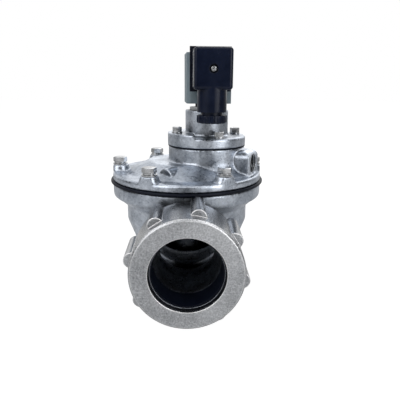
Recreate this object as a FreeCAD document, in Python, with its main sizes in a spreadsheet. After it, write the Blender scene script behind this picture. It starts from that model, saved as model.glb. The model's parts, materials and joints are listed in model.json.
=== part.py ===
import FreeCAD, Part
import Sketcher
import math
import os

# Right-angle pulse valve with two diaphragms. Millimetres, +Z up.
# The origin is on the outlet's axis, at the face of the outlet nut.
# The inlet faces -Y and the cable socket stands above the pilot cover.

doc = FreeCAD.newDocument("PulseValve")
sheet = doc.addObject("Spreadsheet::Sheet", "Sizes")
Vector = FreeCAD.Vector
Rotation = FreeCAD.Rotation


class Size:
    """A length that is known both as a number and as a sheet expression."""

    def __init__(self, text, number):
        self.text = text
        self.number = number

    def joined(self, other, sign, number):
        text = other.text if isinstance(other, Size) else str(other)
        return Size("(" + self.text + " " + sign + " " + text + ")", number)

    def __add__(self, other):
        return self.joined(other, "+", self.number + number_of(other))

    def __sub__(self, other):
        return self.joined(other, "-", self.number - number_of(other))

    def __mul__(self, other):
        return self.joined(other, "*", self.number * number_of(other))

    def __truediv__(self, other):
        return self.joined(other, "/", self.number / number_of(other))

    def __neg__(self):
        return Size("(0 - " + self.text + ")", -self.number)


def number_of(value):
    return value.number if isinstance(value, Size) else float(value)


def size(alias, value, note):
    """Write one driving dimension on its own row and give it back by name."""
    size.row += 1
    row = str(size.row)
    sheet.set("A" + row, note)
    sheet.set("B" + row, str(value))
    sheet.setAlias("B" + row, alias)
    return Size("Sizes." + alias, float(value))


size.row = 0
zero = Size("0", 0.0)

# Overall layout
nut_length = size("nut_length", 43, "port nut from its face to its back")
outlet_gap = size("outlet_gap", 3.5, "gap between the outlet nut's back and the bowl")
bowl_bottom = size("bowl_bottom", 68, "depth of the bowl's underside below the main diaphragm")
inlet_rise = size("inlet_rise", 25.3, "inlet axis above the bowl's underside")
flange_radius = size("flange_radius", 62, "outside of the body flange and the cover rim")
diaphragm_edge = size("diaphragm_edge", 2, "main diaphragm's edge outside the flange")
inlet_gap = size("inlet_gap", 1, "gap between the inlet nut's back and the diaphragm's edge")
turret_offset = size("turret_offset", 16.5, "pilot turret's axis to the right of the outlet axis")
connector_turn = size("connector_turn", 3, "degrees that the coil is turned to the right")

seam_height = nut_length + outlet_gap + bowl_bottom
inlet_drop = bowl_bottom - inlet_rise
inlet_reach = flange_radius + diaphragm_edge + inlet_gap + nut_length

# Clearances
running_gap = size("running_gap", 0.1, "radial gap of threads and sliding fits")
loose_gap = size("loose_gap", 0.4, "gap round pieces that only locate each other")
overcut = size("overcut", 1, "distance that a cut runs past the face that it opens")
lift_gap = size("lift_gap", 0.3, "gap between a seat and its closed diaphragm")

# Pipe ports: nut, washer and rubber gland, the same at the inlet and the outlet
nut_radius = size("nut_radius", 39, "outside of the port nut's ring")
nut_edge = size("nut_edge", 1.2, "bevel at the nut's outer edges")
nut_mouth = size("nut_mouth", 26.3, "radius of the mouth in the nut's face")
nut_face_wall = size("nut_face_wall", 4, "wall of the nut's face")
lug_half_width = size("lug_half_width", 5.5, "half width of a lug")
lug_tip_radius = size("lug_tip_radius", 43.6, "nut axis to the top of a lug")
lug_setback = size("lug_setback", 9, "nut face to the front of the lugs")
lug_count = size("lug_count", 8, "lugs round a nut")
lug_angle = size("lug_angle", 78.5, "degrees from the right to the first lug, seen from the front")
port_washer_bore = size("port_washer_bore", 25.1, "bore radius of the port washer")
port_washer_wall = size("port_washer_wall", 1.5, "thickness of the port washer")
gland_bore = size("gland_bore", 24.4, "bore radius of the rubber gland, for a 48.3 pipe")
gland_collar = size("gland_collar", 8.5, "length of the gland's thick collar")
gland_nose = size("gland_nose", 11, "length of the gland's tapered nose")
gland_nose_root = size("gland_nose_root", 29, "nose radius where it leaves the collar")
gland_nose_tip = size("gland_nose_tip", 25.4, "nose radius at its tip")
thread_radius = size("thread_radius", 31.5, "outside of the threaded spigot")
spigot_relief = size("spigot_relief", 2, "length of plain spigot behind the nut")
neck_radius = size("neck_radius", 28, "outside of the neck behind the thread")
port_throat = size("port_throat", 22.3, "bore radius behind the ledge that a pipe rests on")
pipe_clear = size("pipe_clear", 24, "bore radius in front of that ledge")
pipe_rest = size("pipe_rest", 10, "ledge behind the nut's back")
pipe_ledge = size("pipe_ledge", 2.5, "length of the ledge's slope")

# Valve body
flange_depth = size("flange_depth", 11.5, "thickness of the body flange")
flange_edge = size("flange_edge", 2.5, "radius of the flange's lower edge")
flange_ledge = size("flange_ledge", 11, "flange's reach outside the bowl")
bowl_wall = size("bowl_wall", 4.5, "wall of the bowl")
bowl_shoulder = size("bowl_shoulder", 20, "depth where the flange runs out into the bowl")
bowl_waist = size("bowl_waist", 33, "depth where the bowl begins to close")
bowl_knee = size("bowl_knee", 18, "height of the bowl's bend above its underside")
bowl_knee_inset = size("bowl_knee_inset", 6.5, "bowl's bend inside its outer radius")
bowl_floor_wall = size("bowl_floor_wall", 8, "thickness of the bowl's floor")
bowl_foot_radius = size("bowl_foot_radius", 32, "bowl radius where it meets the neck")
spigot_bite = size("spigot_bite", 15, "length of the inlet spigot inside the bowl's outer radius")
seat_bore = size("seat_bore", 21.5, "bore radius of the main seat")
seat_wall = size("seat_wall", 3.5, "wall of the seat tube")
seat_land = size("seat_land", 1.8, "width of the main seat's flat lip")
mouth_flare = size("mouth_flare", 3, "widening where the inlet opens into the chamber")
mouth_slope = size("mouth_slope", 6, "length over which it widens")

# Main diaphragm and its plates
diaphragm_wall = size("diaphragm_wall", 2.2, "thickness of the main diaphragm")
roll_inner = size("roll_inner", 27, "inner radius of the diaphragm's roll")
roll_width = size("roll_width", 16, "width of the diaphragm's roll")
roll_slope = size("roll_slope", 4, "width of each side of the roll")
roll_rise = size("roll_rise", 2.5, "height of the diaphragm's roll")
plate_radius = size("plate_radius", 24, "radius of the upper plate")
plate_wall = size("plate_wall", 2, "thickness of the main plates")
lower_plate_gap = size("lower_plate_gap", 2, "gap between the lower plate and the seat's bore")
main_stem = size("main_stem", 4, "radius of the plate bolt")
main_head = size("main_head", 7.5, "corner radius of the plate bolt's head and nut")
main_head_height = size("main_head_height", 4, "height of the plate bolt's head and nut")
main_spring_radius = size("main_spring_radius", 14, "middle radius of the main spring")
main_spring_wire = size("main_spring_wire", 0.9, "wire radius of the main spring")
main_spring_turns = size("main_spring_turns", 2.5, "turns of the main spring")

# Main cover
rim_top = size("rim_top", 7, "top of the cover's rim above the seam")
bolt_inset = size("bolt_inset", 5.7, "cover bolts' circle inside the flange's edge")
bolt_count = size("bolt_count", 6, "bolts round the cover")
bolt_angle = size("bolt_angle", 30, "degrees from the front to the first bolt")
bolt_radius = size("bolt_radius", 3, "radius of a cover bolt's shank")
bolt_flats = size("bolt_flats", 10, "size across a bolt head's flats")
bolt_head_height = size("bolt_head_height", 4, "height of a bolt's head")
bolt_tail = size("bolt_tail", 10, "bolt's tip below the seam")
boss_radius = size("boss_radius", 6.7, "radius of the bosses under the bolts")
boss_top = size("boss_top", 12, "top of the bosses above the seam")
plain_washer_wall = size("plain_washer_wall", 1.1, "thickness of a plain washer")
plain_washer_radius = size("plain_washer_radius", 6, "outside of a plain washer")
spring_washer_wall = size("spring_washer_wall", 1.3, "thickness of a spring washer")
spring_washer_radius = size("spring_washer_radius", 5, "outside of a spring washer")
boss_flare = size("boss_flare", 1.4, "spread of a boss's conical foot")
rim_width = size("rim_width", 12, "width of the cover's flat rim")
dome_slope = size("dome_slope", 18, "width of the dome's conical side")
dome_top = size("dome_top", 16, "top of the dome above the seam")
dome_wall = size("dome_wall", 3, "wall of the dome at its crown")
passage_radius = size("passage_radius", 6.5, "radius of the passage rib on the cover")
passage_angle = size("passage_angle", 40, "degrees from the front to the passage rib, to the left")
passage_reach = size("passage_reach", 52, "length of the passage rib from the turret's axis")
passage_height = size("passage_height", 9, "middle of the passage rib above the seam")

# Turret and exhaust
turret_radius = size("turret_radius", 31.7, "outside of the pilot turret")
turret_top = size("turret_top", 28.3, "top of the turret above the seam")
turret_wall = size("turret_wall", 10.7, "wall of the turret round its exhaust chamber")
turret_floor = size("turret_floor", 17.5, "floor of the exhaust chamber above the seam")
turret_foot = size("turret_foot", 8, "height above the seam where the turret's flare ends")
turret_flare = size("turret_flare", 10.5, "radius of the turret's flared foot")
pilot_seat_bore = size("pilot_seat_bore", 8.5, "bore radius of the pilot seat")
pilot_seat_wall = size("pilot_seat_wall", 2.5, "wall of the pilot seat's tube")
vent_angle = size("vent_angle", 25, "degrees from the right to the exhaust, towards the front")
vent_reach = size("vent_reach", 41.6, "turret's axis to the exhaust's face")
vent_boss_width = size("vent_boss_width", 26, "width of the exhaust's boss")
vent_boss_top = size("vent_boss_top", 26.5, "top of the exhaust's boss above the seam")
vent_shoulder = size("vent_shoulder", 6, "radius of the boss's upper edges")
vent_height = size("vent_height", 15.4, "exhaust's axis above the seam")
vent_bore = size("vent_bore", 7.8, "radius of the exhaust's bore")
vent_depth = size("vent_depth", 12, "depth of the exhaust's bore")
vent_passage = size("vent_passage", 4, "radius of the passage behind the exhaust's bore")

# Pilot stage
pilot_overhang = size("pilot_overhang", 0.6, "pilot cover's edge outside the turret")
pilot_sheet_wall = size("pilot_sheet_wall", 1.1, "thickness of the pilot diaphragm")
pilot_sheet_proud = size("pilot_sheet_proud", 0.5, "pilot diaphragm's edge outside the turret")
pilot_rim_height = size("pilot_rim_height", 8.7, "height of the pilot cover's rim over the turret")
pilot_pad_height = size("pilot_pad_height", 2.3, "height of the pilot cover's raised pad")
pilot_pad_end = size("pilot_pad_end", 10.5, "pad's end to the left of the turret's axis")
pilot_pad_slope = size("pilot_pad_slope", 30, "degrees that the pad's end leans back")
pilot_boss_radius = size("pilot_boss_radius", 17.6, "radius of the pilot cover's boss")
pilot_boss_height = size("pilot_boss_height", 20.4, "height of the boss over the pilot cover's rim")
pilot_roof_wall = size("pilot_roof_wall", 3, "wall over the pilot chamber")
pilot_pocket = size("pilot_pocket", 10.5, "radius of the pilot spring's pocket")
pilot_pocket_depth = size("pilot_pocket_depth", 12, "depth of the pilot spring's pocket")
screw_inset = size("screw_inset", 5.7, "turret's outside to the pilot screws' circle")
screw_count = size("screw_count", 4, "screws round the pilot cover")
screw_angle = size("screw_angle", 20, "degrees from the front to the first pilot screw")
screw_radius = size("screw_radius", 2, "radius of a pilot screw's shank")
screw_flats = size("screw_flats", 7, "size across a pilot screw head's flats")
screw_head_height = size("screw_head_height", 4, "height of a pilot screw's head")
screw_tail = size("screw_tail", 12, "length of a pilot screw under the pilot diaphragm")
screw_washer_wall = size("screw_washer_wall", 1.2, "thickness of the pilot screws' washers")
screw_washer_radius = size("screw_washer_radius", 4.2, "outside of the pilot screws' washers")
pilot_plate_radius = size("pilot_plate_radius", 13, "radius of the pilot plate")
pilot_plate_wall = size("pilot_plate_wall", 1.5, "thickness of the pilot plate")
pilot_stem = size("pilot_stem", 2, "radius of the pilot plate's stud")
pilot_nut_radius = size("pilot_nut_radius", 5, "radius of the pilot plate's nut")
pilot_nut_wall = size("pilot_nut_wall", 2.4, "thickness of the pilot plate's nut")
pilot_stud_proud = size("pilot_stud_proud", 0.6, "end of the pilot plate's stud under its nut")
pilot_spring_radius = size("pilot_spring_radius", 8.5, "middle radius of the pilot spring")
pilot_spring_wire = size("pilot_spring_wire", 0.7, "wire radius of the pilot spring")
pilot_spring_turns = size("pilot_spring_turns", 4, "turns of the pilot spring")
pilot_orifice = size("pilot_orifice", 1, "radius of the orifice that the plunger closes")
orifice_lip = size("orifice_lip", 1.8, "outside of the orifice's seat at its top")
orifice_foot = size("orifice_foot", 2.5, "outside of the orifice's seat at its foot")

# Armature tube, plunger and pole core
tube_thread = size("tube_thread", 9, "radius of the armature tube's screwed foot")
tube_foot = size("tube_foot", 6.4, "length of the screwed foot")
tube_flange_corner = size("tube_flange_corner", 14, "corner radius of the tube's hexagon")
tube_foot_gap = size("tube_foot_gap", 0.6, "gap under the screwed foot")
tube_flange_height = size("tube_flange_height", 2.6, "height of the tube's hexagon")
tube_radius = size("tube_radius", 6.5, "outside of the armature tube")
tube_bore = size("tube_bore", 4.7, "bore radius of the armature tube")
tube_tip_radius = size("tube_tip_radius", 4, "radius of the threaded tip")
tube_tip_length = size("tube_tip_length", 4.2, "length of the threaded tip")
plunger_length = size("plunger_length", 30, "length of the plunger")
plunger_stroke = size("plunger_stroke", 1.5, "travel of the plunger")
plunger_seal_radius = size("plunger_seal_radius", 2.8, "radius of the plunger's rubber disc")
plunger_seal_wall = size("plunger_seal_wall", 1.6, "thickness of the plunger's rubber disc")
plunger_pocket = size("plunger_pocket", 2.7, "radius of the spring pocket in the plunger")
plunger_pocket_depth = size("plunger_pocket_depth", 10, "depth of the spring pocket")
plunger_spring_radius = size("plunger_spring_radius", 2.1, "middle radius of the plunger's spring")
plunger_spring_wire = size("plunger_spring_wire", 0.3, "wire radius of the plunger's spring")
plunger_spring_turns = size("plunger_spring_turns", 6, "turns of the plunger's spring")
plunger_rest = size("plunger_rest", 2.1, "pilot seat's height over the pocket's roof")
coil_nut_corner = size("coil_nut_corner", 7.5, "corner radius of the coil's nut")
coil_nut_height = size("coil_nut_height", 3.2, "height of the coil's nut")
coil_recess = size("coil_recess", 2.5, "depth of the recess that the nut sits in")
coil_recess_radius = size("coil_recess_radius", 10, "radius of that recess")
coil_ring_height = size("coil_ring_height", 3.3, "height of the rubber ring under the coil")
coil_ring_radius = size("coil_ring_radius", 9.5, "outside of the rubber ring under the coil")
coil_washer_radius = size("coil_washer_radius", 7.5, "outside of the coil's washer")
coil_washer_wall = size("coil_washer_wall", 0.8, "thickness of the coil's washer")

# Coil and cable socket
coil_width = size("coil_width", 35, "width of the coil")
coil_depth = size("coil_depth", 40, "depth of the coil")
coil_height = size("coil_height", 38.3, "height of the coil")
coil_corner = size("coil_corner", 3.5, "radius of the coil's upright edges")
terminal_reach = size("terminal_reach", 5, "terminal boss in front of the coil")
terminal_root = size("terminal_root", 6, "length of the terminal boss inside the coil")
blade_spread = size("blade_spread", 9, "middle of the coil's face to a flat blade")
blade_drop = size("blade_drop", 9, "middle of the coil's face down to the earth blade")
blade_width = size("blade_width", 6.3, "width of a blade")
blade_wall = size("blade_wall", 0.8, "thickness of a blade")
blade_length = size("blade_length", 9, "length of a blade outside the coil")
blade_root = size("blade_root", 4, "length of a blade inside the coil")
gasket_wall = size("gasket_wall", 1.5, "thickness of the socket's flat gasket")
gasket_proud = size("gasket_proud", 1.6, "gasket's edge outside the socket")
socket_width = size("socket_width", 28.2, "width of the cable socket")
socket_height = size("socket_height", 29.6, "height of the cable socket")
socket_rise = size("socket_rise", 11, "underside of the socket above the coil's underside")
socket_depth = size("socket_depth", 22.5, "depth of the cable socket")
socket_wall = size("socket_wall", 2.5, "wall of the cable socket")
socket_corner = size("socket_corner", 2.5, "radius of the socket's edges")
socket_cavity = size("socket_cavity", 15, "depth of the socket's cavity")
insert_depth = size("insert_depth", 12, "depth of the terminal insert")
insert_lift = size("insert_lift", 4.6, "insert above the cavity's floor, where the cable comes in")
entry_radius = size("entry_radius", 11, "outside of the cable entry")
entry_setback = size("entry_setback", 11, "cable entry's axis behind the socket's face")
entry_length = size("entry_length", 16.1, "length of the cable entry under the socket")
entry_bore = size("entry_bore", 8.2, "bore radius of the cable entry")
entry_bore_depth = size("entry_bore_depth", 12, "depth of the cable entry's bore")
cable_hole = size("cable_hole", 4.6, "radius of the hole that the cable goes through")
entry_nut_radius = size("entry_nut_radius", 11.3, "outside of the cable nut")
entry_nut_height = size("entry_nut_height", 5.9, "height of the cable nut's grip")
entry_nut_gap = size("entry_nut_gap", 2.2, "gap between the grip and the cable entry")
entry_nut_thread = size("entry_nut_thread", 4.4, "length of the cable nut's screwed neck")
flute_radius = size("flute_radius", 1.1, "radius of the flutes round the cable nut")
flute_count = size("flute_count", 12, "flutes round the cable nut")
entry_seal_height = size("entry_seal_height", 8, "height of the cable's rubber ring")
entry_washer_wall = size("entry_washer_wall", 0.8, "thickness of the cable washer")
socket_screw_radius = size("socket_screw_radius", 1.5, "radius of the socket screw")
socket_screw_head = size("socket_screw_head", 2.3, "radius of the socket screw's head")
socket_screw_head_wall = size("socket_screw_head_wall", 2, "height of the socket screw's head")
socket_screw_sink = size("socket_screw_sink", 1.2, "socket screw's head below the socket's face")
socket_screw_hold = size("socket_screw_hold", 6, "socket screw's length inside the coil")

doc.recompute()


def bind(thing, prop, value):
    """Tie one property of an object to the sheet."""
    thing.setExpression(prop, value.text)


def place(thing, x=zero, y=zero, z=zero, rotation=None):
    """Set an object's turn and tie its place to the sheet."""
    turn = rotation if rotation else Rotation()
    thing.Placement = FreeCAD.Placement(Vector(x.number, y.number, z.number), turn)
    bind(thing, "Placement.Base.x", x)
    bind(thing, "Placement.Base.y", y)
    bind(thing, "Placement.Base.z", z)
    return thing


def about_z(degrees):
    return Rotation(Vector(0, 0, 1), degrees)


def level(height):
    """A height that was measured from the seam, in the part's own frame."""
    return seam_height + height


def origin_item(body, role):
    for item in body.Origin.OriginFeatures:
        if item.Role == role:
            return item


def outline_sketch(body, name, outline, plane="XZ_Plane"):
    """Draw a closed outline. A corner with a third entry is reached by an arc through that point."""
    sketch = body.newObject("Sketcher::SketchObject", name)
    sketch.AttachmentSupport = [(origin_item(body, plane), "")]
    sketch.MapMode = "FlatFace"
    corners = [Vector(number_of(item[0]), number_of(item[1]), 0) for item in outline]
    count = len(outline)
    for index in range(count):
        start = corners[index]
        follower = (index + 1) % count
        end = corners[follower]
        if len(outline[follower]) > 2:
            via = outline[follower][2]
            middle = Vector(number_of(via[0]), number_of(via[1]), 0)
            turns_left = (middle - start).cross(end - middle).z > 0
            arc = Part.Arc(start, middle, end) if turns_left else Part.Arc(end, middle, start)
            sketch.addGeometry(arc)
        else:
            sketch.addGeometry(Part.LineSegment(start, end))
    ends = []
    for index in range(count):
        curve = sketch.Geometry[index]
        forward = (curve.StartPoint - corners[index]).Length < (curve.EndPoint - corners[index]).Length
        ends.append((1, 2) if forward else (2, 1))
    for index in range(count):
        follower = (index + 1) % count
        joint = Sketcher.Constraint("Coincident", index, ends[index][1], follower, ends[follower][0])
        sketch.addConstraint(joint)
    for index in range(count):
        fix_point(sketch, index, ends[index][0], outline[index][0], outline[index][1])
    for index in range(count):
        item = outline[(index + 1) % count]
        if len(item) > 2:
            via = item[2]
            point = sketch.addGeometry(Part.Point(Vector(number_of(via[0]), number_of(via[1]), 0)), True)
            fix_point(sketch, point, 1, via[0], via[1])
            sketch.addConstraint(Sketcher.Constraint("PointOnObject", point, 1, index))
    return sketch


def fix_point(sketch, geometry, end, across, along):
    """Hold one point of a sketch at a place that the sheet gives."""
    for kind, value in (("DistanceX", across), ("DistanceY", along)):
        rule = Sketcher.Constraint(kind, -1, 1, geometry, end, number_of(value))
        number = sketch.addConstraint(rule)
        if isinstance(value, Size):
            sketch.setExpression("Constraints[" + str(number) + "]", value.text)


def new_body(label):
    body = doc.addObject("PartDesign::Body", label)
    body.Label = label
    body.AllowCompound = True
    return body


def turned(label, outline):
    """A body of revolution about Z from an outline of (radius, height) corners."""
    body = new_body(label)
    sketch = outline_sketch(body, label + "_outline", outline)
    revolution = body.newObject("PartDesign::Revolution", label + "_turn")
    revolution.Profile = sketch
    revolution.ReferenceAxis = (sketch, ["V_Axis"])
    revolution.Angle = 360
    return body


def step(body, kind, name, sizes, x=zero, z=zero):
    """Add or cut a primitive on a body, at a distance x from its axis and a height z."""
    feature = body.newObject("PartDesign::" + kind, name)
    feature.AttachmentSupport = [(origin_item(body, "XY_Plane"), "")]
    feature.MapMode = "FlatFace"
    feature.AttachmentOffset = FreeCAD.Placement(Vector(x.number, 0, z.number), Rotation())
    bind(feature, "AttachmentOffset.Base.x", x)
    bind(feature, "AttachmentOffset.Base.z", z)
    for prop, value in sizes.items():
        bind(feature, prop, value)
    return feature


def round_step(body, name, radius, height, x=zero, z=zero):
    return step(body, "AdditiveCylinder", name, {"Radius": radius, "Height": height}, x, z)


def round_cut(body, name, radius, height, x=zero, z=zero):
    return step(body, "SubtractiveCylinder", name, {"Radius": radius, "Height": height}, x, z)


def hex_step(body, name, corner, height, x=zero, z=zero):
    feature = step(body, "AdditivePrism", name, {"Circumradius": corner, "Height": height}, x, z)
    feature.Polygon = 6
    return feature


def pattern(body, name, features, count):
    """Repeat features evenly round the body's own Z axis."""
    ring = body.newObject("PartDesign::PolarPattern", name)
    ring.Originals = features
    ring.Axis = (origin_item(body, "Z_Axis"), [""])
    ring.Angle = 360
    bind(ring, "Occurrences", count)
    body.Tip = ring
    return ring


def cylinder(name, radius, height, x=zero, y=zero, z=zero, rotation=None):
    thing = doc.addObject("Part::Cylinder", name)
    bind(thing, "Radius", radius)
    bind(thing, "Height", height)
    return place(thing, x, y, z, rotation)


def cone(name, start, end, height, x=zero, y=zero, z=zero):
    thing = doc.addObject("Part::Cone", name)
    bind(thing, "Radius1", start)
    bind(thing, "Radius2", end)
    bind(thing, "Height", height)
    return place(thing, x, y, z)


def block(name, length, width, height, x=zero, y=zero, z=zero, rotation=None):
    thing = doc.addObject("Part::Box", name)
    bind(thing, "Length", length)
    bind(thing, "Width", width)
    bind(thing, "Height", height)
    return place(thing, x, y, z, rotation)


def fused(name, pieces):
    thing = doc.addObject("Part::MultiFuse", name)
    thing.Shapes = pieces
    thing.Refine = True
    return thing


def shared(name, pieces):
    thing = doc.addObject("Part::MultiCommon", name)
    thing.Shapes = pieces
    return thing


def cut(name, base, tool):
    thing = doc.addObject("Part::Cut", name)
    thing.Base = base
    thing.Tool = tool
    return thing


def carved(label, base, tools):
    """Cut the tools out of a base and give the result its label."""
    thing = cut(label, base, fused(label + "_tools", tools) if len(tools) > 1 else tools[0])
    thing.Label = label
    return thing


def on_ring(count, radius, first_angle, centre):
    """Evenly spaced places round an upright axis, the first at an angle from the front."""
    places = []
    for index in range(int(count.number)):
        angle = math.radians(first_angle.number + index * 360.0 / count.number)
        places.append((index + 1, centre + radius * math.sin(angle), -(radius * math.cos(angle))))
    return places


def ringed(name, radius, places, bottom, height):
    """Upright cylinders of one size at those places."""
    return [cylinder(name + "_" + str(index), radius, height, x, y, bottom) for index, x, y in places]


def coil_spring(label, radius, wire, turns, bottom, top, x):
    """A wound spring between two flat faces, swept along its own helix with a six-sided wire."""
    helix = doc.addObject("Part::Helix", label + "_helix")
    rise = top - bottom - wire * 2
    bind(helix, "Radius", radius)
    bind(helix, "Height", rise)
    bind(helix, "Pitch", rise / turns)
    section = doc.addObject("Part::RegularPolygon", label + "_section")
    section.Polygon = 6
    bind(section, "Circumradius", wire)
    place(section, radius, zero, zero, Rotation(Vector(1, 0, 0), 90))
    spring = doc.addObject("Part::Sweep", label)
    spring.Sections = [section]
    spring.Spine = (helix, ["Edge1"])
    spring.Solid = True
    spring.Frenet = True
    spring.Label = label
    return place(spring, x, zero, bottom + wire)


parts = []


def keep(thing):
    """List a finished sub-part for writing."""
    parts.append(thing)
    return thing


half_sheet = diaphragm_wall / 2
port_inside = thread_radius + running_gap
spigot_start = nut_face_wall + port_washer_wall + gland_collar
gland_end = spigot_start + gland_nose
pipe_stop = nut_length + pipe_rest
inlet_axis = level(-inlet_drop)
bowl_top = level(-half_sheet)
bowl_radius = flange_radius - flange_ledge
bowl_inside = bowl_radius - bowl_wall
bowl_foot = level(-bowl_bottom)
bowl_floor = bowl_foot + bowl_floor_wall
dome_foot = flange_radius - rim_width
dome_shoulder = dome_foot - dome_slope
bolt_circle = flange_radius - bolt_inset
roll_outer = roll_inner + roll_width
turret_chamber = turret_radius - turret_wall
pilot_radius = turret_radius + pilot_overhang
screw_circle = turret_radius - screw_inset
pilot_deck = turret_top + pilot_rim_height
pilot_pad_top = pilot_deck + pilot_pad_height
pilot_boss_top = pilot_deck + pilot_boss_height
pilot_roof = pilot_deck - pilot_roof_wall
pilot_pocket_top = pilot_roof + pilot_pocket_depth
tube_flange_top = pilot_boss_top + tube_flange_height
coil_bottom = tube_flange_top + coil_ring_height
coil_top = coil_bottom + coil_height
coil_seat = coil_top - coil_recess
socket_bottom = coil_bottom + socket_rise
socket_top = socket_bottom + socket_height
socket_screw_height = (socket_bottom + socket_top) / 2
entry_bottom = socket_bottom - entry_length
entry_nut_top = entry_bottom - entry_nut_gap
entry_nut_bottom = entry_nut_top - entry_nut_height
bolt_places = on_ring(bolt_count, bolt_circle, bolt_angle, zero)
screw_places = on_ring(screw_count, screw_circle, screw_angle, turret_offset)


# Valve body: bowl, seat tube and outlet spigot turned in one piece, inlet spigot added from the front
def valve_body():
    seat_top = level(-(half_sheet + lift_gap))
    seat_outside = seat_bore + seat_wall
    knee = bowl_foot + bowl_knee
    rim_low = level(-(half_sheet + flange_depth))
    edge_inset = flange_edge * (1 - math.sqrt(0.5))
    bowl = turned("bowl_and_outlet", [
        (seat_bore, seat_top),
        (seat_bore + seat_land, seat_top),
        (seat_outside, seat_top - seat_wall),
        (seat_outside, bowl_floor),
        (bowl_foot_radius - bowl_wall, bowl_floor),
        (bowl_inside - bowl_knee_inset, knee + bowl_wall),
        (bowl_inside, level(-bowl_waist)),
        (bowl_inside, bowl_top),
        (flange_radius, bowl_top),
        (flange_radius, rim_low + flange_edge),
        (flange_radius - flange_edge, rim_low, (flange_radius - edge_inset, rim_low + edge_inset)),
        (bowl_radius, level(-bowl_shoulder)),
        (bowl_radius, level(-bowl_waist)),
        (bowl_radius - bowl_knee_inset, knee),
        (bowl_foot_radius, bowl_foot),
        (neck_radius, nut_length + spigot_relief / 2),
        (neck_radius, nut_length - spigot_relief),
        (thread_radius, nut_length - spigot_relief * 2),
        (thread_radius, spigot_start),
        (gland_nose_root + running_gap, spigot_start),
        (gland_nose_tip + running_gap, gland_end),
        (pipe_clear, gland_end),
        (pipe_clear, pipe_stop),
        (seat_bore, pipe_stop + pipe_ledge),
    ])
    to_back = Rotation(Vector(1, 0, 0), -90)
    bowl_front = inlet_reach - bowl_radius
    spigot_end = bowl_front + spigot_bite
    spigot = turned("inlet_spigot", [
        (zero, spigot_start),
        (thread_radius, spigot_start),
        (thread_radius, nut_length - spigot_relief),
        (neck_radius, nut_length),
        (neck_radius, spigot_end),
        (zero, spigot_end),
    ])
    place(spigot, zero, -inlet_reach, inlet_axis, to_back)
    chamber = cylinder("chamber_space", bowl_inside, bowl_waist, zero, zero, level(-bowl_waist))
    casting = fused("body_casting", [bowl, cut("spigot_outside_chamber", spigot, chamber)])
    throat = turned("inlet_throat", [
        (zero, spigot_start - overcut),
        (gland_nose_root + running_gap, spigot_start - overcut),
        (gland_nose_root + running_gap, spigot_start),
        (gland_nose_tip + running_gap, gland_end),
        (pipe_clear, gland_end),
        (pipe_clear, pipe_stop),
        (port_throat, pipe_stop + pipe_ledge),
        (port_throat, bowl_front + mouth_flare),
        (port_throat + mouth_flare, bowl_front + mouth_flare + mouth_slope),
        (port_throat + mouth_flare, spigot_end + mouth_flare),
        (zero, spigot_end + mouth_flare),
    ])
    place(throat, zero, -inlet_reach, inlet_axis, to_back)
    bolt_end = level(-bolt_tail) - overcut
    holes = ringed("body_hole", bolt_radius + running_gap, bolt_places, bolt_end, bolt_tail + overcut)
    return keep(carved("valve_body", casting, [throat] + holes))


# Port nut with lugs, its washer and its rubber gland, drawn from the face inwards
def port_set(prefix, at):
    nut = turned(prefix + "_nut", [
        (nut_mouth, zero),
        (nut_radius - nut_edge, zero),
        (nut_radius, nut_edge),
        (nut_radius, nut_length - nut_edge),
        (nut_radius - nut_edge, nut_length),
        (port_inside, nut_length),
        (port_inside, nut_face_wall),
        (nut_mouth, nut_face_wall),
    ])
    lug = round_step(nut, prefix + "_lug", lug_half_width, nut_length - lug_setback,
                     lug_tip_radius - lug_half_width, lug_setback)
    ring = pattern(nut, prefix + "_lugs", [lug], lug_count)
    round_cut(nut, prefix + "_nut_bore", port_inside, nut_length - nut_face_wall, zero, nut_face_wall)
    washer_top = nut_face_wall + port_washer_wall
    washer = turned(prefix + "_washer", [
        (port_washer_bore, nut_face_wall),
        (port_inside - loose_gap, nut_face_wall),
        (port_inside - loose_gap, washer_top),
        (port_washer_bore, washer_top),
    ])
    gland = turned(prefix + "_gland", [
        (gland_bore, washer_top),
        (port_inside - loose_gap, washer_top),
        (port_inside - loose_gap, spigot_start),
        (gland_nose_root, spigot_start),
        (gland_nose_tip, gland_end),
        (gland_bore, gland_end),
    ])
    for piece in (nut, washer, gland):
        at(piece)
        keep(piece)


def at_inlet(piece):
    turn = Rotation(Vector(1, 0, 0), -90).multiply(about_z(-lug_angle.number))
    place(piece, zero, -inlet_reach, inlet_axis, turn)


def at_outlet(piece):
    place(piece, zero, zero, zero, about_z(lug_angle.number))


# Main diaphragm with its roll, its two plates and the bolt that clamps them
def main_diaphragm():
    low = level(-half_sheet)
    high = level(half_sheet)
    outside = flange_radius + diaphragm_edge
    body = turned("main_diaphragm", [
        (main_stem, low),
        (roll_inner, low),
        (roll_inner + roll_slope, low + roll_rise),
        (roll_outer - roll_slope, low + roll_rise),
        (roll_outer, low),
        (outside, low),
        (outside, high),
        (roll_outer, high),
        (roll_outer - roll_slope, high + roll_rise),
        (roll_inner + roll_slope, high + roll_rise),
        (roll_inner, high),
        (main_stem, high),
    ])
    hole = round_cut(body, "diaphragm_bolt_hole", bolt_radius + loose_gap, diaphragm_wall, bolt_circle, low)
    pattern(body, "diaphragm_bolt_holes", [hole], bolt_count)
    place(body, zero, zero, zero, about_z(bolt_angle.number - 90))
    keep(body)


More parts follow.
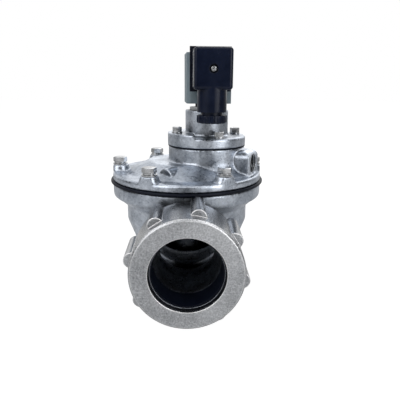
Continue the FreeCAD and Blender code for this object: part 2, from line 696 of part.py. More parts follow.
def main_plates():
    low = level(-half_sheet)
    high = level(half_sheet)
    upper = turned("upper_plate", [
        (main_stem, high),
        (plate_radius, high),
        (plate_radius - plate_wall / 2, high + plate_wall),
        (main_stem, high + plate_wall),
    ])
    reach = seat_bore - lower_plate_gap
    lower = turned("lower_plate", [
        (main_stem, low - plate_wall),
        (reach - plate_wall / 2, low - plate_wall),
        (reach, low),
        (main_stem, low),
    ])
    bolt = new_body("plate_bolt")
    hex_step(bolt, "plate_bolt_head", main_head, main_head_height, zero,
             low - plate_wall - main_head_height)
    round_step(bolt, "plate_bolt_stem", main_stem,
               diaphragm_wall + plate_wall * 2 + main_head_height, zero, low - plate_wall)
    nut = new_body("plate_nut")
    hex_step(nut, "plate_nut_hexagon", main_head, main_head_height, zero, high + plate_wall)
    round_cut(nut, "plate_nut_bore", main_stem, main_head_height, zero, high + plate_wall)
    for piece in (upper, lower, bolt, nut):
        keep(piece)
    roof = level(dome_top - dome_wall)
    keep(coil_spring("main_spring", main_spring_radius, main_spring_wire, main_spring_turns,
                     high + plate_wall, roof, zero))


# Main cover: rim with bosses, dome, pilot turret and exhaust in one casting
def main_cover():
    low = level(half_sheet)
    casting = fused("cover_casting", [cover_shell(low), cover_forms(low), cover_turret(low)])
    tools = [cover_cavity(low), exhaust_chamber()] + exhaust_bores()
    tools += ringed("cover_hole", bolt_radius + loose_gap, bolt_places, low - overcut, boss_top * 2)
    tools += ringed("spot_face", plain_washer_radius + loose_gap, bolt_places, level(boss_top), turret_top)
    tap_end = level(turret_top) - screw_tail - overcut
    tools += ringed("turret_tap", screw_radius + running_gap, screw_places, tap_end, turret_top)
    return keep(carved("main_cover", casting, tools))


def cover_shell(low):
    """The flat rim and the dome, turned about the outlet's axis."""
    edge = flange_edge / 2
    return turned("cover_shell", [
        (zero, low),
        (flange_radius, low),
        (flange_radius, level(rim_top) - edge),
        (flange_radius - edge, level(rim_top)),
        (dome_foot, level(rim_top)),
        (dome_shoulder, level(dome_top)),
        (zero, level(dome_top)),
    ])


def cover_turret(low):
    """The turret with its concave flared foot."""
    foot = turret_radius + turret_flare
    foot_height = level(turret_foot)
    bend = turret_flare * (1 - math.sqrt(0.5))
    turret = turned("turret", [
        (zero, low),
        (turret_radius, low),
        (turret_radius, level(turret_top)),
        (zero, level(turret_top)),
    ])
    flare = turned("turret_flare_outline", [
        (turret_radius - overcut, low),
        (foot, low),
        (foot, foot_height),
        (turret_radius, foot_height + turret_flare, (turret_radius + bend, foot_height + bend)),
        (turret_radius - overcut, foot_height + turret_flare),
    ])
    for piece in (turret, flare):
        place(piece, turret_offset, zero, zero)
    foot_ring = shared("turret_flare_inside", [flare, inside_rim("turret", low)])
    return fused("turret_and_flare", [turret, foot_ring])


def inside_rim(name, low):
    return cylinder(name + "_limit", flange_radius, turret_top * 2, zero, zero, low)


def cover_forms(low):
    """Bolt bosses, passage rib and exhaust boss, all kept inside the rim."""
    pieces = ringed("cover_boss", boss_radius, bolt_places, low, boss_top - half_sheet)
    for index, x, y in bolt_places:
        pieces.append(cone("boss_foot_" + str(index), boss_radius + boss_flare, boss_radius,
                           boss_top - rim_top, x, y, level(rim_top)))
    forward = Rotation(Vector(1, 0, 0), 90)
    pieces.append(cylinder("passage_rib", passage_radius, passage_reach, turret_offset, zero,
                           level(passage_height), about_z(-passage_angle.number).multiply(forward)))
    pieces.append(exhaust_boss(low))
    return shared("cover_forms", [fused("raised_forms", pieces), inside_rim("forms", low)])


def exhaust_boss(low):
    """A box with two rounded upper edges that runs out from the turret."""
    lean = math.radians(vent_angle.number)
    half = vent_boss_width / 2
    box = block("exhaust_box", vent_reach, vent_boss_width, vent_boss_top - half_sheet,
                turret_offset - half * math.sin(lean), -(half * math.cos(lean)), low,
                about_z(-vent_angle.number))
    doc.recompute()
    top = level(vent_boss_top).number
    edges = edges_where(box.Shape, lambda middle, run: abs(middle.z - top) < hair and
                        run.Length > vent_boss_width.number)
    return rounded("exhaust_boss", box, edges, vent_shoulder)


def cover_cavity(low):
    """The room over the main diaphragm, with the pilot seat's hole through its roof."""
    roof = level(dome_top - dome_wall)
    cavity = turned("cover_cavity", [
        (zero, low - overcut),
        (bowl_inside, low - overcut),
        (bowl_inside, level(rim_top - dome_wall)),
        (dome_shoulder - dome_wall, roof),
        (zero, roof),
    ])
    hole = cylinder("pilot_seat_hole", pilot_seat_bore, turret_top, turret_offset, zero, roof - overcut)
    return fused("cover_rooms", [cavity, hole])


def exhaust_chamber():
    """The ring-shaped room round the pilot seat's tube."""
    height = turret_top - turret_floor
    floor = level(turret_floor)
    room = cylinder("exhaust_room", turret_chamber, height + overcut, turret_offset, zero, floor)
    tube = cylinder("pilot_seat_tube", pilot_seat_bore + pilot_seat_wall, height - lift_gap,
                    turret_offset, zero, floor)
    return cut("exhaust_chamber", room, tube)


def exhaust_bores():
    """The exhaust's bore and the narrower passage behind it."""
    lean = math.radians(vent_angle.number)
    outward = about_z(-vent_angle.number).multiply(Rotation(Vector(0, 1, 0), 90))
    bore_start = vent_reach - vent_depth
    duct_start = turret_chamber - vent_passage
    duct_height = turret_floor + vent_passage + loose_gap
    bores = []
    for name, radius, start, end, height in (
            ("exhaust_bore", vent_bore, bore_start, vent_reach + overcut, vent_height),
            ("exhaust_duct", vent_passage, duct_start, bore_start + overcut, duct_height)):
        bores.append(cylinder(name, radius, end - start, turret_offset + start * math.cos(lean),
                              -(start * math.sin(lean)), level(height), outward))
    return bores


# Six cover bolts with their washers
def cover_fasteners():
    plain = new_body("cover_plain_washers")
    seat = level(boss_top)
    washer_ring(plain, "plain_washer", plain_washer_radius, bolt_radius + running_gap,
                plain_washer_wall, bolt_circle, seat, bolt_count)
    split = new_body("cover_spring_washers")
    seat = seat + plain_washer_wall
    washer_ring(split, "spring_washer", spring_washer_radius, bolt_radius + running_gap,
                spring_washer_wall, bolt_circle, seat, bolt_count)
    seat = seat + spring_washer_wall
    bolts = new_body("cover_bolts")
    stem = round_step(bolts, "bolt_shank", bolt_radius, seat - level(-bolt_tail), bolt_circle,
                      level(-bolt_tail))
    head = hex_step(bolts, "bolt_head", bolt_flats / math.sqrt(3), bolt_head_height, bolt_circle, seat)
    pattern(bolts, "bolt_ring", [stem, head], bolt_count)
    for piece in (plain, split, bolts):
        place(piece, zero, zero, zero, about_z(bolt_angle.number - 90))
        keep(piece)


def washer_ring(body, name, outside, inside, wall, circle, bottom, count):
    disc = round_step(body, name, outside, wall, circle, bottom)
    hole = round_cut(body, name + "_hole", inside, wall, circle, bottom)
    pattern(body, name + "_ring", [disc, hole], count)


# Pilot stage: small diaphragm, its plate and stud, spring and cover
def pilot_stage():
    low = level(turret_top)
    high = low + pilot_sheet_wall
    disc = turned("pilot_diaphragm", [
        (pilot_stem, low),
        (turret_radius + pilot_sheet_proud, low),
        (turret_radius + pilot_sheet_proud, high),
        (pilot_stem, high),
    ])
    hole = round_cut(disc, "pilot_sheet_hole", screw_radius + loose_gap, pilot_sheet_wall,
                     screw_circle, low)
    pattern(disc, "pilot_sheet_holes", [hole], screw_count)
    plate = turned("pilot_plate", [
        (zero, low - pilot_nut_wall - pilot_stud_proud),
        (pilot_stem, low - pilot_nut_wall - pilot_stud_proud),
        (pilot_stem, high),
        (pilot_plate_radius, high),
        (pilot_plate_radius, high + pilot_plate_wall),
        (pilot_stem * 2, high + pilot_plate_wall),
        (pilot_stem, high + pilot_plate_wall * 2),
        (zero, high + pilot_plate_wall * 2),
    ])
    nut = turned("pilot_plate_nut", [
        (pilot_stem, low - pilot_nut_wall),
        (pilot_nut_radius, low - pilot_nut_wall),
        (pilot_nut_radius, low),
        (pilot_stem, low),
    ])
    for piece in (disc, plate, nut):
        place(piece, turret_offset, zero, zero, about_z(screw_angle.number - 90))
        keep(piece)
    keep(coil_spring("pilot_spring", pilot_spring_radius, pilot_spring_wire, pilot_spring_turns,
                     high + pilot_plate_wall, level(pilot_pocket_top), turret_offset))


def pilot_cover():
    low = level(turret_top) + pilot_sheet_wall
    seat_floor = level(pilot_boss_top) - tube_foot - tube_foot_gap
    seat_top = seat_floor + plunger_rest
    edge = flange_edge / 2
    outside = turned("pilot_cover_outside", [
        (zero, low),
        (pilot_radius, low),
        (pilot_radius, level(pilot_deck) - edge),
        (pilot_radius - edge, level(pilot_deck)),
        (pilot_boss_radius + edge, level(pilot_deck)),
        (pilot_boss_radius, level(pilot_deck) + edge),
        (pilot_boss_radius, level(pilot_boss_top)),
        (zero, level(pilot_boss_top)),
    ])
    casting = fused("pilot_cover_casting", [outside, pilot_pad(low)])
    cavity = turned("pilot_cover_cavity", [
        (zero, low - overcut),
        (turret_chamber, low - overcut),
        (turret_chamber, level(pilot_roof) - edge),
        (turret_chamber - edge, level(pilot_roof)),
        (pilot_pocket, level(pilot_roof)),
        (pilot_pocket, level(pilot_pocket_top)),
        (pilot_orifice, level(pilot_pocket_top)),
        (pilot_orifice, seat_top + overcut),
        (zero, seat_top + overcut),
    ])
    socket = turned("tube_socket", [
        (orifice_foot, seat_floor),
        (tube_thread + running_gap, seat_floor),
        (tube_thread + running_gap, level(pilot_boss_top) + overcut),
        (zero, level(pilot_boss_top) + overcut),
        (zero, seat_top),
        (orifice_lip, seat_top),
    ])
    for piece in (outside, cavity, socket):
        place(piece, turret_offset, zero, zero)
    holes = ringed("pilot_hole", screw_radius + loose_gap, screw_places, low - overcut, pilot_pad_top)
    on_deck = [item for item in screw_places if screw_seat(item[1]) is pilot_deck]
    faces = ringed("pilot_spot_face", screw_washer_radius + loose_gap, on_deck, level(pilot_deck),
                   pilot_pad_height + overcut)
    return keep(carved("pilot_cover", casting, [cavity, socket] + holes + faces))


def screw_seat(x):
    """Height of the face under a pilot screw's washer: the pad's on the left, the rim's elsewhere."""
    across = x - turret_offset
    return pilot_pad_top if across.number < -pilot_pad_end.number else pilot_deck


def pilot_pad(low):
    """The raised pad over the cover's left side, with an end that leans back."""
    height = pilot_pad_top - turret_top - pilot_sheet_wall
    disc = cylinder("pilot_pad_disc", pilot_radius, height, turret_offset, zero, low)
    slope = math.radians(pilot_pad_slope.number)
    width = pilot_radius * 2
    end_x = width * math.cos(slope) - pilot_radius * math.sin(slope)
    end_z = width * math.sin(slope) + pilot_radius * math.cos(slope)
    side = block("pilot_pad_side", width, width, width, turret_offset - pilot_pad_end - end_x,
                 -pilot_radius, level(pilot_deck) - end_z,
                 Rotation(Vector(0, 1, 0), -pilot_pad_slope.number))
    return shared("pilot_pad", [disc, side])


def pilot_fasteners():
    """Screws and washers, of which the left pair sits higher, on the pad."""
    washers = new_body("pilot_screw_washers")
    screws = new_body("pilot_cover_screws")
    tail = level(turret_top) - screw_tail
    for index, x, y in screw_places:
        across = x - turret_offset
        seat = level(screw_seat(x))
        top = seat + screw_washer_wall
        mark = str(index)
        upright(washers, "AdditiveCylinder", "screw_washer_" + mark, screw_washer_radius, screw_washer_wall,
                across, y, seat)
        upright(washers, "SubtractiveCylinder", "screw_washer_hole_" + mark, screw_radius + running_gap,
                screw_washer_wall, across, y, seat)
        upright(screws, "AdditiveCylinder", "screw_stem_" + mark, screw_radius, top - tail, across, y, tail)
        upright(screws, "AdditivePrism", "screw_head_" + mark, screw_flats / math.sqrt(3),
                screw_head_height, across, y, top)
    for body in (washers, screws):
        place(body, turret_offset, zero, zero)
        keep(body)


def upright(body, kind, name, radius, height, x, y, z):
    """A round or six-sided step that stands beside the body's axis."""
    prop = "Circumradius" if kind == "AdditivePrism" else "Radius"
    feature = step(body, kind, name, {prop: radius, "Height": height}, x, z)
    bind(feature, "AttachmentOffset.Base.y", y)
    return feature


# Armature tube with its core, sealing ring, plunger and nut
def solenoid_inside():
    foot = level(pilot_boss_top) - tube_foot
    plunger_low = foot - tube_foot_gap + plunger_rest
    plunger_high = plunger_low + plunger_length
    core_low = plunger_high + plunger_stroke + lift_gap
    shoulder = level(coil_seat) + coil_washer_wall
    core_high = shoulder - tube_tip_length
    tube = turned("armature_tube", [
        (tube_bore, foot),
        (tube_thread, foot),
        (tube_thread, level(pilot_boss_top)),
        (tube_radius, level(pilot_boss_top)),
        (tube_radius, shoulder),
        (tube_tip_radius, shoulder),
        (tube_tip_radius, shoulder + tube_tip_length),
        (zero, shoulder + tube_tip_length),
        (zero, core_high),
        (tube_bore, core_high),
    ])
    hex_step(tube, "tube_hexagon", tube_flange_corner, tube_flange_height, zero, level(pilot_boss_top))
    round_cut(tube, "tube_clear_bore", tube_bore, tube_flange_height + tube_foot, zero, foot)
    core = turned("pole_core", [
        (zero, core_low),
        (tube_bore, core_low),
        (tube_bore, core_high),
        (zero, core_high),
    ])
    slide = tube_bore - running_gap
    pocket_low = plunger_high - plunger_pocket_depth
    seal_top = plunger_low + plunger_seal_wall
    skirt = plunger_low + running_gap * 2
    plunger = turned("plunger", [
        (plunger_seal_radius, skirt),
        (slide, skirt),
        (slide, plunger_high),
        (plunger_pocket, plunger_high),
        (plunger_pocket, pocket_low),
        (zero, pocket_low),
        (zero, seal_top),
        (plunger_seal_radius, seal_top),
    ])
    seal = turned("plunger_seal", [
        (zero, plunger_low),
        (plunger_seal_radius, plunger_low),
        (plunger_seal_radius, seal_top),
        (zero, seal_top),
    ])
    keep(coil_spring("plunger_spring", plunger_spring_radius, plunger_spring_wire,
                     plunger_spring_turns, pocket_low, core_low, turret_offset))
    nut = new_body("coil_nut")
    hex_step(nut, "coil_nut_hexagon", coil_nut_corner, coil_nut_height, zero, shoulder)
    round_cut(nut, "coil_nut_bore", tube_tip_radius, coil_nut_height, zero, shoulder)
    washer = new_body("coil_nut_washer")
    round_step(washer, "coil_washer_disc", coil_washer_radius, coil_washer_wall, zero, level(coil_seat))
    round_cut(washer, "coil_washer_hole", tube_radius + running_gap, coil_washer_wall, zero,
              level(coil_seat))
    ring = turned("coil_ring", [
        (tube_radius + running_gap, level(tube_flange_top)),
        (coil_ring_radius, level(tube_flange_top)),
        (coil_ring_radius, level(coil_bottom)),
        (tube_radius + running_gap, level(coil_bottom)),
    ])
    for piece in (tube, core, plunger, seal, nut, washer, ring):
        place(piece, turret_offset, zero, zero)
        keep(piece)


# Coil, terminal blades and the cable socket, drawn facing the front and turned as one group
coil_turn = about_z(connector_turn.number)
coil_face = coil_depth / 2
terminal_face = coil_face + terminal_reach
gasket_face = terminal_face + gasket_wall
socket_face = gasket_face + socket_depth
entry_axis = socket_face - entry_setback


def coil_box(name, width, near, far, bottom, top):
    """A box across the coil's front, from one distance in front of its axis to another."""
    return block(name, width, far - near, top - bottom, -(width / 2), -far, bottom)


def coil_cylinder(name, radius, near, far, height, across=zero):
    """A cylinder that points out of the coil's front."""
    return cylinder(name, radius, far - near, across, -near, height, Rotation(Vector(1, 0, 0), 90))


hair = 0.01    # faces nearer than this are at one height


def edges_where(shape, wanted):
    """Numbers of a shape's edges that a rule picks by their middle and their run."""
    found = []
    for number, edge in enumerate(shape.Edges, 1):
        start = edge.Vertexes[0].Point
        end = edge.Vertexes[-1].Point
        if wanted((start + end) / 2, end - start):
            found.append(number)
    return found


def rounded(name, base, numbers, radius):
    thing = doc.addObject("Part::Fillet", name)
    thing.Base = base
    thing.Edges = [(number, radius.number, radius.number) for number in numbers]
    return thing


def turn_group(label, piece):
    piece.Label = label
    place(piece, turret_offset, zero, zero, coil_turn)
    return keep(piece)


def coil():
    body = block("coil_block", coil_width, coil_depth, coil_height, -(coil_width / 2), -coil_face,
                 level(coil_bottom))
    doc.recompute()
    edges = edges_where(body.Shape, lambda middle, run: abs(run.z) > coil_corner.number)
    smooth = rounded("coil_smooth", body, edges, coil_corner)
    boss = coil_box("terminal_boss", socket_width, coil_face - terminal_root, terminal_face,
                    level(socket_bottom), level(socket_top))
    whole = fused("coil_whole", [smooth, boss])
    bore = cylinder("coil_bore", tube_radius + running_gap, coil_height + overcut * 2, zero, zero,
                    level(coil_bottom) - overcut)
    recess = cylinder("coil_nut_recess", coil_recess_radius, coil_recess + overcut, zero, zero,
                      level(coil_seat))
    screw = coil_cylinder("coil_screw_hole", socket_screw_radius + running_gap,
                          terminal_face - socket_screw_hold - overcut, terminal_face + overcut,
                          level(socket_screw_height))
    slots = blades("blade_root_slot", zero, terminal_face - blade_root, terminal_face + overcut)
    turn_group("coil", carved("coil_solid", whole, [bore, recess, screw] + slots))
    turn_group("terminal_blades", fused("blade_set", blades("blade", zero, terminal_face - blade_root,
                                                            terminal_face + blade_length)))


def blades(name, gap, near, far):
    """The three flat terminals, or slots for them that are wider by a gap."""
    middle = level(socket_screw_height)
    wide = blade_width + gap * 2
    thin = blade_wall + gap * 2
    pieces = []
    for label, side in (("left", -1), ("right", 1)):
        pieces.append(block(name + "_" + label, thin, far - near, wide,
                            blade_spread * side - thin / 2, -far, middle - wide / 2))
    pieces.append(block(name + "_earth", wide, far - near, thin, -(wide / 2), -far,
                        middle - blade_drop - thin / 2))
    return pieces


def cable_socket():
    middle = level(socket_screw_height)
    low = level(socket_bottom)
    high = level(socket_top)
    screw_way = socket_screw_radius + loose_gap
    gasket = coil_box("gasket_sheet", socket_width + gasket_proud * 2, terminal_face, gasket_face,
                      low - gasket_proud, high + gasket_proud)
    gasket_slots = blades("gasket_slot", loose_gap, terminal_face - overcut, gasket_face + overcut)
    gasket_hole = coil_cylinder("gasket_hole", screw_way, terminal_face - overcut, gasket_face + overcut,
                                middle)
    turn_group("connector_gasket", carved("gasket_solid", gasket, gasket_slots + [gasket_hole]))
    body = coil_box("socket_block", socket_width, gasket_face, socket_face, low, high)
    doc.recompute()
    back = -gasket_face.number
    front_edges = edges_where(body.Shape, lambda middle, run: middle.y < back - socket_corner.number)
    smooth = rounded("socket_smooth", body, front_edges, socket_corner)
    neck_height = entry_length + socket_wall
    entry = cylinder("entry_tube", entry_radius, neck_height, zero, -entry_axis, level(entry_bottom))
    whole = fused("socket_whole", [smooth, entry])
    cavity_width = socket_width - socket_wall * 2
    cavity = coil_box("socket_cavity_space", cavity_width, gasket_face - overcut,
                      gasket_face + socket_cavity, low + socket_wall, high - socket_wall)
    hole = coil_cylinder("socket_screw_hole", screw_way, gasket_face, socket_face + overcut, middle)
    sink = coil_cylinder("socket_screw_recess", socket_screw_head + overcut,
                         socket_face - socket_screw_sink - socket_screw_head_wall, socket_face + overcut,
                         middle)
    bore = cylinder("entry_bore_space", entry_bore, entry_bore_depth + overcut, zero, -entry_axis,
                    level(entry_bottom) - overcut)
    inlet = cylinder("entry_cable_way", cable_hole, neck_height, zero, -entry_axis,
                     level(entry_bottom) + overcut)
    turn_group("connector_housing", carved("socket_solid", whole, [cavity, hole, sink, bore, inlet]))
    insert = coil_box("insert_block", cavity_width - loose_gap, gasket_face, gasket_face + insert_depth,
                      low + socket_wall + insert_lift, high - socket_wall - loose_gap)
    insert_slots = blades("insert_slot", loose_gap, gasket_face - overcut,
                          terminal_face + blade_length + loose_gap)
    insert_hole = coil_cylinder("insert_hole", screw_way, gasket_face - overcut,
                                gasket_face + insert_depth + overcut, middle)
    turn_group("connector_insert", carved("insert_solid", insert, insert_slots + [insert_hole]))
    head_face = socket_face - socket_screw_sink
    head_back = head_face - socket_screw_head_wall
    head = coil_cylinder("socket_screw_top", socket_screw_head, head_back, head_face, middle)
    stem = coil_cylinder("socket_screw_stem", socket_screw_radius, terminal_face - socket_screw_hold,
                         head_back, middle)
    turn_group("connector_screw", fused("socket_screw", [head, stem]))


def cable_gland():
    bottom = level(entry_nut_bottom)
    top = level(entry_nut_top)
    thread_top = level(entry_bottom) + entry_nut_thread / 2
    washer_top = thread_top + entry_washer_wall
    seal_top = washer_top + entry_seal_height
    fit = entry_bore - running_gap
    nut = turned("cable_gland_nut", [
        (cable_hole, bottom),
        (entry_nut_radius - flute_radius, bottom),
        (entry_nut_radius, bottom + flute_radius),
        (entry_nut_radius, top),
        (fit, top),
        (fit, thread_top),
        (cable_hole, thread_top),
    ])
    flute = round_cut(nut, "nut_flute", flute_radius, entry_nut_height, entry_nut_radius + flute_radius / 3,
                      bottom)
    pattern(nut, "nut_flutes", [flute], flute_count)
    washer = turned("gland_washer", [
        (cable_hole, thread_top),
        (fit, thread_top),
        (fit, washer_top),
        (cable_hole, washer_top),
    ])
    seal_hole = cable_hole - loose_gap
    seal = turned("cable_gland_seal", [
        (seal_hole, washer_top),
        (fit, washer_top),
        (fit, seal_top),
        (seal_hole, seal_top),
    ])
    lean = math.radians(connector_turn.number)
    for piece in (nut, washer, seal):
        place(piece, turret_offset + entry_axis * math.sin(lean), -(entry_axis * math.cos(lean)), zero,
              coil_turn)
        keep(piece)


valve_body()
port_set("inlet", at_inlet)
port_set("outlet", at_outlet)
main_diaphragm()
main_plates()
main_cover()
cover_fasteners()
pilot_stage()
pilot_cover()
pilot_fasteners()
solenoid_inside()
coil()
cable_socket()
cable_gland()

doc.recompute()

failed = [thing.Name for thing in doc.Objects if "Invalid" in thing.State or "Error" in thing.State]
if failed:
    raise RuntimeError("these did not build: " + ", ".join(failed))

os.makedirs("parts", exist_ok=True)
for thing in parts:
    shape = thing.Shape
    if shape.isNull() or not shape.isValid():
        raise RuntimeError(thing.Label + " is not a sound solid")
    shape.exportStep("parts/" + thing.Label + ".step")
    print(thing.Label, len(shape.Solids), round(shape.Volume, 1))
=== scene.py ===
import bmesh
import bpy
import json
import math
from mathutils import Matrix, Vector


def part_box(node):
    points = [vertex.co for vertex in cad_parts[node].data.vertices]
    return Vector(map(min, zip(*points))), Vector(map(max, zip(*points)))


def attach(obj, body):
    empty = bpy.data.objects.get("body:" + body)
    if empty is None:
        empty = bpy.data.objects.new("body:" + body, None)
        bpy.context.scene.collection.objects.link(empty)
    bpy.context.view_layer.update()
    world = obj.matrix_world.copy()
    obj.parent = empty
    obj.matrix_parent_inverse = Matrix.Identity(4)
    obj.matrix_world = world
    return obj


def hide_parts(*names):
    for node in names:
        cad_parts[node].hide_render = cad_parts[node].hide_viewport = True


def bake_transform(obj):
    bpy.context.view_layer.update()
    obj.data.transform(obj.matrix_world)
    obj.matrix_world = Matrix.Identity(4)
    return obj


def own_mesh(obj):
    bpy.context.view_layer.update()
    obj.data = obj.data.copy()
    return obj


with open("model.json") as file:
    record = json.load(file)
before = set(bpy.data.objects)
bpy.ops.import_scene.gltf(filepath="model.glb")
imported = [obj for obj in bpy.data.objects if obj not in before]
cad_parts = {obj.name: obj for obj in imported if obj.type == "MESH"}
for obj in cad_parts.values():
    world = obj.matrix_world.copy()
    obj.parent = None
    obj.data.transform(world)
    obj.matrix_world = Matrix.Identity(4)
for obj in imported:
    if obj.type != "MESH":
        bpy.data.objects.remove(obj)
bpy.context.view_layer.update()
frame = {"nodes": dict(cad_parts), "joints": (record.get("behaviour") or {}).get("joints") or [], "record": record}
nodes = frame["nodes"]


# Camera, placed by matching the valve's circles to the photograph

cameraSettings = {
    "place": (-0.0009, -0.3787, 0.1959),
    "pitch": 14.97,         # degrees down
    "yaw": 1.86,            # degrees to the right
    "roll": 0.39,           # degrees, picture turned clockwise
    "lens": 40.5,           # mm
    "sensor": 36.0,         # mm, its width
    "nearest": 0.01,        # nothing closer than this is seen
}


def makeCamera(settings):
    pitch, yaw, roll = (math.radians(settings[key]) for key in ("pitch", "yaw", "roll"))
    forward = Vector((math.sin(yaw) * math.cos(pitch), math.cos(yaw) * math.cos(pitch), -math.sin(pitch)))
    right = Vector((math.cos(yaw), -math.sin(yaw), 0))
    up = right.cross(forward)
    tiltedRight = right * math.cos(roll) + up * math.sin(roll)
    tiltedUp = up * math.cos(roll) - right * math.sin(roll)
    data = bpy.data.cameras.new("photoCamera")
    data.lens = settings["lens"]
    data.sensor_width = settings["sensor"]
    data.clip_start = settings["nearest"]
    camera = bpy.data.objects.new("photoCamera", data)
    bpy.context.scene.collection.objects.link(camera)
    axes = Matrix((tiltedRight, tiltedUp, -forward)).transposed().to_4x4()
    camera.matrix_world = Matrix.Translation(settings["place"]) @ axes
    bpy.context.scene.camera = camera


makeCamera(cameraSettings)
bpy.context.scene.view_settings.view_transform = "Standard"
print("camera ready")


# Shader helpers

edgeSettings = {
    "samples": 6,           # rays that round an edge in the shading
    "flat": 0.992,          # cosine between the true and the rounded surface with no wear and painted highlight yet
    "wornAndHighlit": 0.92,           # and with full wear and painted highlight
}


def rgb(red, green, blue):
    return (red, green, blue, 1.0)


def newMaterial(name):
    material = bpy.data.materials.new(name)
    material.use_nodes = True
    material.node_tree.nodes.clear()
    return material, material.node_tree


def setInput(tree, node, name, value):
    if isinstance(value, bpy.types.NodeSocket):
        tree.links.new(value, node.inputs[name])
    else:
        node.inputs[name].default_value = value


def addNode(tree, kind, **inputs):
    node = tree.nodes.new(kind)
    for name, value in inputs.items():
        setInput(tree, node, name.replace("_", " "), value)
    return node


def objectPlace(tree):
    return addNode(tree, "ShaderNodeTexCoord").outputs["Object"]


def noise(tree, place, scale, detail, rough=0.6):
    node = addNode(tree, "ShaderNodeTexNoise", Vector=place, Scale=scale, Detail=detail, Roughness=rough)
    return node.outputs["Fac"]


def remap(tree, value, before, after=(0.0, 1.0)):
    node = tree.nodes.new("ShaderNodeMapRange")
    for index, item in enumerate((value, *before, *after)):
        setInput(tree, node, index, item)
    return node.outputs[0]


def blendColors(tree, factor, first, second):
    node = tree.nodes.new("ShaderNodeMix")
    node.data_type = "RGBA"
    for index, item in ((0, factor), (6, first), (7, second)):      # 6 and 7 are the node's two colours
        setInput(tree, node, index, item)
    return node.outputs[2]


def mathNode(tree, operation, *values):
    node = tree.nodes.new("ShaderNodeMath")
    node.operation = operation
    for index, value in enumerate(values):
        setInput(tree, node, index, value)
    return node.outputs[0]


def bump(tree, height, depth, strength, normal):
    node = addNode(tree, "ShaderNodeBump", Height=height, Distance=depth, Strength=strength, Normal=normal)
    return node.outputs["Normal"]


def softEdge(tree, radius):
    node = addNode(tree, "ShaderNodeBevel", Radius=radius)
    node.samples = edgeSettings["samples"]
    return node.outputs["Normal"]


def edgeWearAndHighlight(tree, rounded):
    flat = tree.nodes.new("ShaderNodeNewGeometry").outputs["Normal"]
    node = tree.nodes.new("ShaderNodeVectorMath")
    node.operation = "DOT_PRODUCT"
    tree.links.new(rounded, node.inputs[0])
    tree.links.new(flat, node.inputs[1])
    return remap(tree, node.outputs["Value"], (edgeSettings["flat"], edgeSettings["wornAndHighlit"]))


def finishSurface(tree, color, roughness, normal, metallic, gloss=0.5):
    shader = addNode(tree, "ShaderNodeBsdfPrincipled", Base_Color=color, Roughness=roughness, Normal=normal,
                     Metallic=metallic, Specular_IOR_Level=gloss)
    output = tree.nodes.new("ShaderNodeOutputMaterial")
    tree.links.new(shader.outputs[0], output.inputs["Surface"])


# Cast and forged finishes

castSettings = {
    "dark": rgb(0.285, 0.32, 0.375),
    "light": rgb(0.69, 0.74, 0.82),
    "cloudScale": 75.0,     # broad tone changes over the casting
    "grainScale": 520.0,    # mottling of the cast skin, about 2 mm
    "grainShare": 0.4,      # of the mottling in the tone, the clouds have the rest
    "gritScale": 2600.0,    # fine blasted grit
    "rough": (0.22, 0.42),
    "shade": 0.05,          # painted shade: tone left deep inside the ports and hollows
    "shadeReach": 0.045,
    "shadeOpen": 0.82,      # openness at which the painted shade ends and the full tone is back
    # edge colour: partly wear, partly a painted highlight
    "wearAndHighlight": rgb(0.93, 0.95, 0.98),
    "wearAndHighlightWidth": 0.0009,
    "wearAndHighlightAmount": 0.7,
}

nutSettings = {
    "dark": rgb(0.265, 0.275, 0.295),
    "light": rgb(0.77, 0.785, 0.81),
    "cloudScale": 30.0,
    "grainScale": 900.0,
    "grainShare": 0.6,
    "gritScale": 3200.0,
    "rough": (0.32, 0.5),
    "shade": 0.05,
    "shadeReach": 0.06,
    "shadeOpen": 0.66,
    "wearAndHighlight": rgb(0.97, 0.97, 0.98),
    "wearAndHighlightWidth": 0.0013,
    "wearAndHighlightAmount": 1.0,
    "sideTone": 0.78,       # of the sides, darker than the blasted end faces
    "sideGloss": 0.45,      # and of their roughness
}

# Washers: faces painted near black as painted shade, edges with a painted highlight
washerShadeSettings = {
    "dark": rgb(0.02, 0.022, 0.028),
    "light": rgb(0.05, 0.052, 0.06),
    "cloudScale": 120.0,
    "grainScale": 700.0,
    "grainShare": 0.5,
    "gritScale": 3000.0,
    "rough": (0.25, 0.4),
    "shade": 0.3,
    "shadeReach": 0.03,
    "shadeOpen": 0.7,
    "wearAndHighlight": rgb(0.62, 0.66, 0.74),
    "wearAndHighlightWidth": 0.0005,
    "wearAndHighlightAmount": 0.8,
}

castPattern = {             # the same in all three
    "cloudDetail": 3.0,
    "grainDetail": 5.0,
    "grainRough": 0.65,
    "gritDetail": 2.0,
    "toneFrom": (0.36, 0.64),       # noise values that become the dark and the light tone
    "roughFrom": (0.3, 0.7),        # and the low and the high roughness
    "shadeClosed": 0.15,            # openness at which the painted shade is full
    "shadeSamples": 8,
    "sideToFace": (0.5, 0.9),       # share of the normal along the nut's axis, on a side and an end face
    "grainDepth": 0.0004,
    "grainStrength": 0.3,
    "gritDepth": 0.0002,
    "gritStrength": 0.2,
}

black = rgb(0.0, 0.0, 0.0)


def endFaces(tree, axis):
    straight = addNode(tree, "ShaderNodeTexCoord").outputs["Normal"]
    split = addNode(tree, "ShaderNodeSeparateXYZ", Vector=straight)
    return mathNode(tree, "ABSOLUTE", split.outputs[axis])


